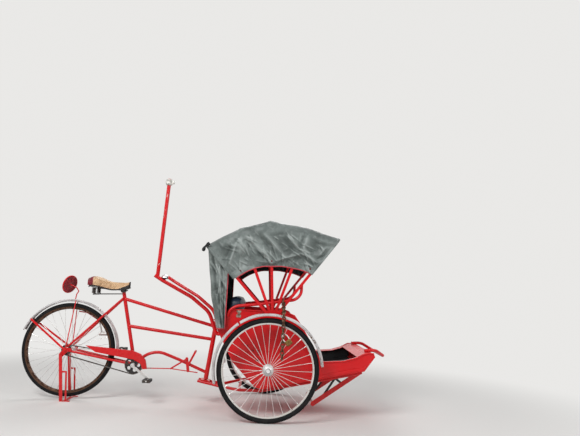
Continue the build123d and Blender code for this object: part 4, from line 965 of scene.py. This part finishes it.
def curtainPoint(h, w):
    # h goes from the low hem (0) to the hood's rear bow (1), w from the right wing's edge (-1) round the back
    # to the left one (1)
    half, corner, wingX = place["hoodHalf"], curtain["corner"], curtain["wingX"]
    a = np.abs(w)
    wing = np.clip((a - 0.66) / 0.34, 0, 1)
    bend = np.clip((a - 0.58) / 0.08, 0, 1)
    flat = np.clip(a / 0.58, 0, 1)
    # the hem rises behind the seat, where the steering head's plate comes through
    fromSlit = ((half - corner) * flat - curtain["slitHalf"]) / curtain["slitEdge"]
    low = curtain["hemZ"] + curtain["slitHigh"] * (1 - np.clip(fromSlit, 0, 1))
    # the height of the top edge depends on x, and x on the height, so both are worked out in four rounds
    span = 0.5
    for _ in range(4):
        z = low + span
        rise = np.clip((z - curtain["hemZ"]) / curtain["backTall"], 0, 1)
        backX = curtain["lowX"] + (curtain["highX"] - curtain["lowX"]) * rise
        x = backX + corner * (1 - np.sin((1 - bend) * np.pi / 2)) * (bend > 0)
        x = np.where(wing > 0, backX + corner + (wingX - backX - corner) * wing, x)
        fromPivot = place["pivotX"] - place["frontX"] - x
        topZ = place["pivotZ"] - fromPivot * np.tan(hood["angles"][0]) - curtain["under"]
        span = h * (topZ - low)
    z = low + span
    y = (half - corner) * flat + corner * np.sin(bend * np.pi / 2)
    # the folds push the cloth out, loosely at the hem and in the middle, and not at all along the bow
    loose = np.sin(np.pi * np.clip(h, 0, 1)) ** 0.7 * 0.6 + 0.4 * (1 - h)
    wave = hangingFold(a, h)
    outX = np.where(wing > 0, 0, np.cos(bend * np.pi / 2))
    outY = np.where(wing > 0, 1, np.sin(bend * np.pi / 2))
    fade = np.clip((1 - h) / 0.08, 0, 1)
    x = x - wave * loose * outX * fade
    y = y + (wave * loose * outY - curtain["inset"] * outY) * fade
    fine = foldHeight(place["frontX"] - place["pivotX"] + x, z - place["pivotZ"], hangingCreases)
    y = y + curtain["creaseGain"] * fine * outY * fade
    return place["frontX"] + x, np.sign(w) * y, z


w = spacing([-1, -0.66, -0.58, 0.58, 0.66, 1], [32, 13, 80, 13, 32])
h, w = np.meshgrid(np.linspace(0, 1, 130), w, indexing="ij")
curtainPoints = np.stack(curtainPoint(h, w), -1)
curtainCloth = surface("hoodCurtainCloth", curtainPoints, flip=True)
wallX, wallZ = curtainPoints[..., 0] - place["pivotX"], curtainPoints[..., 2] - place["pivotZ"]
onWing = foldHeight(wallX, wallZ, hangingCreases) * (np.abs(w) > 0.6)
# fold heights that the canvas turns into a painted highlight on crests and painted shade in hollows
foldShade = hangingFold(np.abs(w), h) / curtain["foldTall"] + onWing / hood["creaseTall"]
storeValue(curtainCloth, "fold", foldShade)
modify(curtainCloth, "SOLIDIFY", thickness=hood["thickness"], offset=-1, material_offset=1)
finishPiece(curtainCloth, "cab", hoodCanvasCloth, ("hood_curtain",))
# the inside face takes the near-black cloth, painted shade for the curtain's dark inside
curtainCloth.data.materials.append(paintedShadeLining)
for name, high, wide in [
    ("curtainPipingRight", np.linspace(0, 1, 50), np.full(50, -0.998)),
    ("curtainPipingLeft", np.linspace(0, 1, 50), np.full(50, 0.998)),
    ("curtainPipingLow", np.zeros(140), np.linspace(-1, 1, 140)),
]:
    cordEdge = tube(name, np.stack(curtainPoint(high, wide), -1), curtain["pipingR"], 8, up=(1, 0.2, 0))
    finishPiece(cordEdge, "cab", piping)
# black webbing ties rolled at the hood's rear corners
rollLine = np.array([(-0.012, 0.430, 1.165), (-0.002, 0.441, 1.190), (0.012, 0.444, 1.205),
                     (0.030, 0.438, 1.222)])
rollR = 0.010 + 0.003 * np.sin(np.linspace(0, 9, 24))
for side, tail in bothSides:
    tie = tube(f"hoodTie_{tail}", smoothPath(rollLine * [1, side, 1], 24), rollR, 12, up=(1, 0, 0))
    finishPiece(tie, "cab", darkCloth)
print("hood ready")


# Cushions: a rounded block that swells under pressure, with piped seams
cushions = {
    "seatCushionCover": {"node": "seat_cushion", "power": 7, "scale": (0.965, 0.975, 0.86), "lean": 0.0,
                         "seams": (-0.62, 0.62)},
    "backCushionCover": {"node": "back_cushion", "power": 5, "scale": (0.78, 0.985, 0.96), "lean": 0.20,
                         "seams": (0.0,)},
}
swelling = {"cap": 0.012, "voxel": 0.009, "pressure": 4, "frames": 14}
seamTube = {"near": 360, "steps": 180, "radius": 0.0032}


def swell(piece):
    # pressure cloth from a remeshed copy, each point held within the cap of where it began
    modify(piece, "REMESH", mode="VOXEL", voxel_size=swelling["voxel"])
    bpy.context.view_layer.update()
    solid = bpy.data.meshes.new_from_object(piece.evaluated_get(bpy.context.evaluated_depsgraph_get()))
    piece.modifiers.clear()
    piece.data = solid
    before = meshPoints(solid)
    cloth = modify(piece, "CLOTH")
    cloth.settings.use_pressure = True
    cloth.settings.uniform_pressure_force = swelling["pressure"]
    cloth.settings.effector_weights.gravity = 0
    cloth.settings.quality = 4
    for number in range(1, swelling["frames"] + 1):
        bpy.context.scene.frame_set(number)
    done = bpy.data.meshes.new_from_object(piece.evaluated_get(bpy.context.evaluated_depsgraph_get()))
    piece.modifiers.clear()
    move = meshPoints(done) - before
    size = np.linalg.norm(move, axis=1)[:, None]
    after = before + move * np.minimum(1, swelling["cap"] / np.maximum(size, 1e-9))
    done.vertices.foreach_set("co", after.ravel())
    done.polygons.foreach_set("use_smooth", [True] * len(done.polygons))
    piece.data = done
    bpy.context.scene.frame_set(1)


def seamLoop(points, level):
    # the outline of a closed form at one height: in each direction the point that lies farthest out
    steps = seamTube["steps"]
    near = points[np.argsort(np.abs(points[:, 2] - level))[:seamTube["near"]], :2]
    middle = (near.min(0) + near.max(0)) / 2
    half = (near.max(0) - near.min(0)) / 2
    spread = (near - middle) / half
    turn = (np.arctan2(spread[:, 1], spread[:, 0]) / (2 * np.pi) * steps).astype(int) % steps
    out = np.zeros(steps)
    np.maximum.at(out, turn, np.linalg.norm(spread, axis=1))
    filled = np.flatnonzero(out)
    out = np.interp(np.arange(steps), filled, out[filled], period=steps)
    out = (np.roll(out, 1) + 2 * out + np.roll(out, -1)) / 4
    angle = (np.arange(steps) + 0.5) / steps * 2 * np.pi
    circle = out[:, None] * np.stack([np.cos(angle), np.sin(angle)], -1)
    return np.column_stack([middle + half * circle, np.full(steps, level)])


for name, look in cushions.items():
    low, high = np.array(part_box(look["node"]))
    centre, size = (low + high) / 2, (high - low) * look["scale"]
    lean = [[1, 0, 0], [0, 1, 0], [look["lean"], 0, 1]]
    block = roundedBox(name, centre, size, look["power"], (88, 56), axes=lean)
    swell(block)
    finishPiece(block, "cab", blueCloth, (look["node"],))
    # piped seams, sewn on where the top and bottom covers meet the border
    for number, share in enumerate(look["seams"]):
        loop = seamLoop(meshPoints(block.data), centre[2] + share * size[2] / 2)
        seam = tube(f"{name}Seam{number}", loop, seamTube["radius"], 8, up=(0.3, 0.2, 1), closed=True)
        finishPiece(seam, "cab", blueCloth)
print("cushions ready")

# Cab trim: round beads along the panels' edges, a dark lining in the footwell and its coaming
trim = {
    "beadY": 0.4045, "topR": 0.006, "lowR": 0.004, "flangeY": 0.4058, "flangeX": (-0.020, 0.710),
    "flangeUp": 0.002, "flangeTall": 0.024, "flangeBulge": 0.0015, "flangeThick": 0.0028,
}
# the side panel's outline over its top edge and round its low edge, as (x from the front axle, z)
panelTop = [(-0.319, 0.722), (-0.278, 0.752), (0.116, 0.748), (0.175, 0.727), (0.222, 0.665), (0.386, 0.405),
            (0.552, 0.418), (0.640, 0.445), (0.700, 0.478), (0.768, 0.482)]
panelLow = [(0.776, 0.462), (0.700, 0.357), (0.378, 0.287), (-0.030, 0.201), (-0.080, 0.212), (-0.253, 0.384),
            (-0.334, 0.533), (-0.374, 0.600), (-0.319, 0.722)]
cut = np.linspace(0, 1, 12)[:, None, None]
for side, tail in bothSides:
    for name, corners, radius in [("Top", panelTop, trim["topR"]), ("Low", panelLow, trim["lowR"])]:
        line = np.array(corners)
        dense = (line[:-1] * (1 - cut) + line[1:] * cut).transpose(1, 0, 2).reshape(-1, 2)
        dense = dense[np.concatenate([[True], np.linalg.norm(np.diff(dense, axis=0), axis=1) > 1e-6])]
        y = np.full(len(dense), side * trim["beadY"])
        path = np.stack([place["frontX"] + dense[:, 0], y, dense[:, 1]], -1)
        bead = tube(f"panelBead{name}_{tail}", path, radius, 10)
        finishPiece(bead, "cab", redEnamel)
    # an angle strip along the panel's lower edge, from behind the wheel to the nose
    t, w = np.meshgrid(np.linspace(0, 1, 60), np.linspace(0, 1, 5), indexing="ij")
    x = trim["flangeX"][0] + (trim["flangeX"][1] - trim["flangeX"][0]) * t
    edge = np.array(panelLow[3::-1])
    z = np.interp(x, edge[:, 0], edge[:, 1]) + trim["flangeUp"] + trim["flangeTall"] * w
    y = side * (trim["flangeY"] + trim["flangeBulge"] * np.sin(np.pi * w))
    strip = surface(f"panelFlange_{tail}", np.stack([place["frontX"] + x, y, z], -1), flip=side < 0)
    modify(strip, "SOLIDIFY", thickness=trim["flangeThick"], offset=0)
    finishPiece(strip, "cab", redEnamel)

# Footwell: a rubber mat over its floor and walls, and a ledge along each side, with x from the front axle
footwell = {
    "riser": 0.236, "long": 0.475, "kneeX": 0.378, "kneeZ": 0.287, "mat": 0.007, "half": 0.393,
    "matThick": 0.003, "ledgeX": 0.386, "ledgeLong": 0.270, "ledgeY": 0.402, "ledgeWide": 0.052,
    "ledgeUp": 0.002, "ledgeDip": 0.004, "ledgeThick": 0.0022,
}


def liningPoint(u, v):
    # u goes from the riser to the nose, v from the right wall's top over the floor to the left wall's top;
    # the floor slopes a little less behind its knee than before it
    x = footwell["riser"] + u * footwell["long"]
    slope = np.where(x < footwell["kneeX"], 0.2108, 0.2174)
    floor = footwell["kneeZ"] + (x - footwell["kneeX"]) * slope + footwell["mat"]
    rim = np.interp(x, [0.20, 0.386, 0.552, 0.640, 0.70], [0.445, 0.400, 0.412, 0.438, 0.466])
    a = np.abs(v)
    wall = np.clip((a - 0.7) / 0.3, 0, 1)
    y = footwell["half"] * np.clip(a / 0.7, 0, 1)
    z = floor + (rim - floor) * wall + 0.0012 * np.sin(x * 70) * np.sin(y * 60)
    return place["frontX"] + x, np.sign(v) * y, z


u, v = np.meshgrid(np.linspace(0, 1, 60), np.linspace(-1, 1, 101), indexing="ij")
lining = surface("footwellLining", np.stack(liningPoint(u, v), -1))
modify(lining, "SOLIDIFY", thickness=footwell["matThick"], offset=0)
finishPiece(lining, "cab", matRubber)
u, v = np.meshgrid(np.linspace(0, 1, 40), np.linspace(0, 1, 9), indexing="ij")
x = footwell["ledgeX"] + u * footwell["ledgeLong"]
y = footwell["ledgeY"] - v * footwell["ledgeWide"]
z = np.interp(x, [0.386, 0.552, 0.640, 0.700], [0.4055, 0.4185, 0.4455, 0.4785])
z = z + footwell["ledgeUp"] - footwell["ledgeDip"] * v**3
for side, tail in bothSides:
    ledge = surface(f"footwellLedge_{tail}", np.stack([place["frontX"] + x, side * y, z], -1), flip=side > 0)
    modify(ledge, "SOLIDIFY", thickness=footwell["ledgeThick"], offset=0)
    finishPiece(ledge, "cab", redEnamel)
print("cab trim ready")

# Small things on the right side: wound tape, bell, chain links and padlock
mast = {
    "foot": (-0.3493, -0.300, 0.968), "top": (-0.316, -0.300, 1.705), "tapeR": 0.0255, "tapeFrom": 0.050,
    "tapeLong": 0.048, "knotFrom": 0.030, "knotOff": (0.030, -0.004, 0.004), "knot": (0.022, 0.020, 0.028),
}
mastTop = np.array(mast["top"])
mastDir = mastTop - mast["foot"]
mastDir /= np.linalg.norm(mastDir)
# the tape's radius wavers round the tube and along it, and tapers fast at both ends
t, a = np.meshgrid(np.linspace(0, 1, 40), np.linspace(0, 2 * np.pi, 36, endpoint=False), indexing="ij")
lump = mast["tapeR"] + 0.002 * np.sin(a * 2 + t * 9) + 0.0014 * np.sin(t * 44 + a)
lump -= 0.010 * np.abs(2 * t - 1) ** 8
outwards = np.cos(a)[..., None] * [0, 1, 0] + np.sin(a)[..., None] * np.cross(mastDir, [0, 1, 0])
centreLine = mastTop + (t[..., None] * mast["tapeLong"] - mast["tapeFrom"]) * mastDir
tape = weld(surface("tubeTape", centreLine + lump[..., None] * outwards, False, True, caps=True))
finishPiece(tape, "cab", tapeWhite, ("tube_wrap",))
knotCentre = mastTop - mastDir * mast["knotFrom"] + mast["knotOff"]
knot = roundedBox("tapeKnot", knotCentre, mast["knot"], 3, (24, 16))
finishPiece(knot, "cab", tapeWhite)

bell = {"down": 0.024, "domeR": 0.0255, "domeTall": 0.021, "stemR": 0.0075, "stemZ": (-0.008, -0.020, -0.032)}
low, high = np.array(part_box("bell"))
bellCentre = np.append((low[:2] + high[:2]) / 2, high[2] - bell["down"])
c = np.linspace(0, np.pi / 2, 16)
dome = np.stack([bell["domeR"] * np.cos(c), bell["domeTall"] * np.sin(c)], -1)
lip = [(0.0, -0.003), (0.022, -0.003), (0.0262, -0.001)]
button = [(0.004, 0.021), (0.0038, 0.0235), (0.0, 0.0238)]
bellShell = turned("bellDome", np.vstack([lip, dome[:-1], button]), bellCentre, (0, 0, 1), 48)
finishPiece(bellShell, "cab", chromePlate, ("bell",))
baseLine = [(0.0, -0.011), (0.018, -0.011), (0.0235, -0.008), (0.0235, -0.004), (0.0, -0.004)]
bellBase = turned("bellBase", baseLine, bellCentre, (0, 0, 1), 40)
finishPiece(bellBase, "cab", blackEnamel)
stemLine = [bellCentre + [0, 0, z] for z in bell["stemZ"]]
stem = tube("bellStem", stemLine, bell["stemR"], 14, up=(1, 0, 0))
finishPiece(stem, "cab", blackEnamel)

# lock chain: oval links, each turned a quarter from the one before, hanging over the mudguard
lockChain = {
    "count": 17, "wire": 0.0045, "half": 0.0115, "long": 0.0205, "tilt": np.radians(25), "spineSteps": 18,
    "wireSteps": 8, "loopAt": (0.591, -0.4153, 0.8285), "loopR": 0.0160, "loopLean": 0.004,
}
lockLine = smoothPath([
    (0.591, -0.434, 0.829), (0.591, -0.462, 0.815), (0.592, -0.555, 0.764), (0.593, -0.596, 0.738),
    (0.593, -0.603, 0.700), (0.593, -0.603, 0.437),
], 2 * lockChain["count"] + 1)
linkMiddle = lockLine[1::2, None]
linkRun = lockLine[2::2] - lockLine[:-1:2]
linkRun /= np.linalg.norm(linkRun, axis=1)[:, None]
linkSide = np.cross(linkRun, [1.0, 0, 0])
linkSide /= np.linalg.norm(linkSide, axis=1)[:, None]
linkFace = np.cross(linkRun, linkSide)
tilt = (lockChain["tilt"] + np.radians(90) * (np.arange(lockChain["count"]) % 2))[:, None]
across = (linkSide * np.cos(tilt) + linkFace * np.sin(tilt))[:, None]
normal = (linkFace * np.cos(tilt) - linkSide * np.sin(tilt))[:, None, None]
linkRun = linkRun[:, None]
turn = np.linspace(0, 2 * np.pi, lockChain["spineSteps"], endpoint=False)[None, :, None]
spine = linkMiddle + np.cos(turn) * lockChain["half"] * across + np.sin(turn) * lockChain["long"] * linkRun
outwards = (np.cos(turn) * across + np.sin(turn) * linkRun)[:, :, None]
wireAngle = np.linspace(0, 2 * np.pi, lockChain["wireSteps"], endpoint=False)[None, None, :, None]
ring = spine[:, :, None] + lockChain["wire"] * (np.cos(wireAngle) * outwards + np.sin(wireAngle) * normal)
rows, columns = lockChain["spineSteps"], lockChain["wireSteps"]
faces = [gridFaces(rows, columns, True, True, rows * columns * k) for k in range(lockChain["count"])]
lockLinks = weld(meshObject("lockLinks", ring.reshape(-1, 3), np.concatenate(faces)))
finishPiece(lockLinks, "cab", rustyChain, ("lock_chain",))
# a round link holds the chain to the armrest's rail
turn = np.linspace(0, 2 * np.pi, 40, endpoint=False)
wrap = np.stack([lockChain["loopLean"] * np.sin(turn), lockChain["loopR"] * np.cos(turn),
                 lockChain["loopR"] * np.sin(turn)], -1) + lockChain["loopAt"]
lockLoop = tube("lockLoop", wrap, lockChain["wire"], 10, up=(1, 0, 0), closed=True)
finishPiece(lockLoop, "cab", rustyChain)

# the padlock hangs askew from the chain by its shackle
padlock = {
    "at": (0.634, -0.604, 0.552), "lean": np.radians(38), "body": (0.046, 0.017, 0.038), "wire": 0.0040,
}
cos, sin = np.cos(padlock["lean"]), np.sin(padlock["lean"])
askew = np.array([[cos, 0, sin], [0, 1, 0], [-sin, 0, cos]])
lockBody = roundedBox("padlockBody", padlock["at"], padlock["body"], 7, (36, 24), axes=askew)
finishPiece(lockBody, "cab", oldBrass, ("padlock",))
shackleLine = np.array([
    (0.017, 0, 0.010), (0.019, 0, 0.036), (0.016, 0, 0.054), (0, 0, 0.067), (-0.016, 0, 0.054),
    (-0.019, 0, 0.036), (-0.017, 0, 0.010),
])
shackle = tube("padlockShackle", smoothPath(shackleLine @ askew + padlock["at"], 48), padlock["wire"], 10)
finishPiece(shackle, "cab", brightSteel)

# hasp on the panel: a hinged strap over a staple between two screwed plates
hasp = {
    "at": (0.273, -0.4043, 0.726), "stapleR": 0.0018, "stapleX": 0.002, "stapleOut": 0.0040,
    "stapleBow": 0.0045, "stapleDown": 0.010, "stapleTall": 0.008, "screwX": (-0.012, 0.012),
    "screwZ": (0.022, -0.023), "screwOut": 0.0028, "screwTall": 0.0022, "screwR": 0.0032, "screwTop": 0.0020,
}
# each plate's place beside the hasp's middle (x, z), and its width, height and depth
haspPlates = [(0.0, 0.018, 0.034, 0.022, 0.0030), (0.0, -0.019, 0.034, 0.020, 0.0030),
              (0.002, 0.0, 0.018, 0.054, 0.0050)]
haspX, haspY, haspZ = hasp["at"]
for number, (shiftX, shiftZ, wide, tall, deep) in enumerate(haspPlates):
    at = (haspX + shiftX, haspY - deep / 2, haspZ + shiftZ)
    plate = roundedBox(f"haspPlate{number}", at, (wide, deep, tall), 9, (28, 14))
    finishPiece(plate, "cab", agedSteel, ("latch",) if number == 0 else ())
bend = np.linspace(0, np.pi, 16)
staplePath = np.stack([
    np.full(16, haspX + hasp["stapleX"]), haspY - hasp["stapleOut"] - hasp["stapleBow"] * np.sin(bend),
    haspZ - hasp["stapleDown"] - hasp["stapleTall"] * np.cos(bend),
], -1)
staple = tube("haspStaple", staplePath, hasp["stapleR"], 8, up=(1, 0, 0))
finishPiece(staple, "cab", agedSteel)
screwX, screwZ = np.repeat(hasp["screwX"], 2), np.tile(hasp["screwZ"], 2)
screwFoot = np.stack([haspX + screwX, np.full(4, haspY - hasp["screwOut"]), haspZ + screwZ], -1)
screwTop = screwFoot - [0, hasp["screwTall"], 0]
screws = rods("haspScrews", screwFoot, screwTop, hasp["screwR"], hasp["screwTop"], sides=12)
finishPiece(screws, "cab", agedSteel)
print("small parts ready")

# Floor, light and camera
room = {
    "floor": "#e4e2df", "far": "#efeeec", "sky": "#e9ebee", "fill": 0.36, "view": 0.95, "plain": 2.1,
    "faded": 4.0, "half": 60,
}
u, v = np.meshgrid(np.linspace(-1, 1, 61), np.linspace(-1, 1, 61), indexing="ij")
floor = surface("studioFloor", np.stack([room["half"] * u**3, room["half"] * v**3, 0 * u], -1))
floorLook, tree, coords = startMaterial("matteFloorPaint")
paint = addNode(tree, "BsdfPrincipled", {"Base Color": linear(room["floor"]), "Roughness": 0.9})
# away from the object the floor turns, for the camera, into the plain pale colour of the room
reach = addNode(tree, "VectorMath", {"operation": "LENGTH"}, {0: coords.outputs["Object"]})
away = addNode(tree, "MapRange", {1: room["plain"], 2: room["faded"], "interpolation_type": "SMOOTHSTEP"},
               {0: reach.outputs["Value"]})
rays = addNode(tree, "LightPath")
share = addNode(tree, "Math", {"operation": "MULTIPLY"}, {0: away, 1: rays.outputs["Is Camera Ray"]})
glow = addNode(tree, "Emission", {"Color": linear(room["far"]), "Strength": room["view"]})
mixed = addNode(tree, "MixShader", links={0: share, 1: paint, 2: glow})
addNode(tree, "OutputMaterial", links={"Surface": mixed})
floor.data.materials.append(floorLook)
floor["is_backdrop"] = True


def areaLamp(name, at, aim, size, power):
    # a round lamp that looks at a point
    data = bpy.data.lights.new(name, "AREA")
    data.shape = "DISK"
    data.size = size
    data.energy = power
    lampObject = bpy.data.objects.new(name, data)
    bpy.context.scene.collection.objects.link(lampObject)
    lampObject.location = at
    lampObject.rotation_euler = (Vector(aim) - Vector(at)).to_track_quat("-Z", "Y").to_euler()


areaLamp("keyLamp", (-2.2, -4.6, 4.8), (0, 0, 0.6), 2.6, 235)
areaLamp("fillLamp", (4.2, -3.0, 3.0), (0.2, 0, 0.6), 3.0, 70)
areaLamp("backLamp", (0.5, 3.4, 3.6), (0, 0, 0.8), 2.6, 75)
world = bpy.data.worlds.new("studioSky")
bpy.context.scene.world = world
world.use_nodes = True
tree = world.node_tree
sky = tree.nodes["Background"]
sky.inputs[0].default_value = linear(room["sky"])
sky.inputs[1].default_value = room["fill"]
# what the camera and shiny metal see of the room is paler than what lights the object
seen = addNode(tree, "Background", {0: linear(room["far"]), 1: room["view"]})
rays = addNode(tree, "LightPath")
either = addNode(tree, "Math", {"operation": "MAXIMUM"},
                 {0: rays.outputs["Is Camera Ray"], 1: rays.outputs["Is Glossy Ray"]})
mixed = addNode(tree, "MixShader", links={0: either, 1: sky, 2: seen})
tree.links.new(mixed.outputs[0], tree.nodes["World Output"].inputs["Surface"])

# Camera: fitted to the wheels, the hood and the frame in the 580 x 436 picture
view = {
    "focal": 551.46, "width": 580, "sensor": 36, "yaw": 0.0473, "pitch": 0.1333, "roll": 0.0499,
    "at": (0.4174, -4.4751, 0.8976),
}
cosYaw, sinYaw = np.cos(view["yaw"]), np.sin(view["yaw"])
forward = np.array([sinYaw * np.cos(view["pitch"]), cosYaw * np.cos(view["pitch"]), np.sin(view["pitch"])])
right = np.array([cosYaw, -sinYaw, 0])
upward = np.cross(right, forward)
turnedRight = right * np.cos(view["roll"]) + upward * np.sin(view["roll"])
turnedUp = -right * np.sin(view["roll"]) + upward * np.cos(view["roll"])
cameraData = bpy.data.cameras.new("photoCamera")
cameraData.sensor_width = view["sensor"]
cameraData.lens = view["focal"] * view["sensor"] / view["width"]
camera = bpy.data.objects.new("photoCamera", cameraData)
bpy.context.scene.collection.objects.link(camera)
turn = np.stack([turnedRight, turnedUp, -forward], 1)
camera.matrix_world = Matrix.Translation(view["at"]) @ Matrix(turn.tolist()).to_4x4()
bpy.context.scene.camera = camera
bpy.context.scene.view_settings.view_transform = "Standard"

low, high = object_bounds()
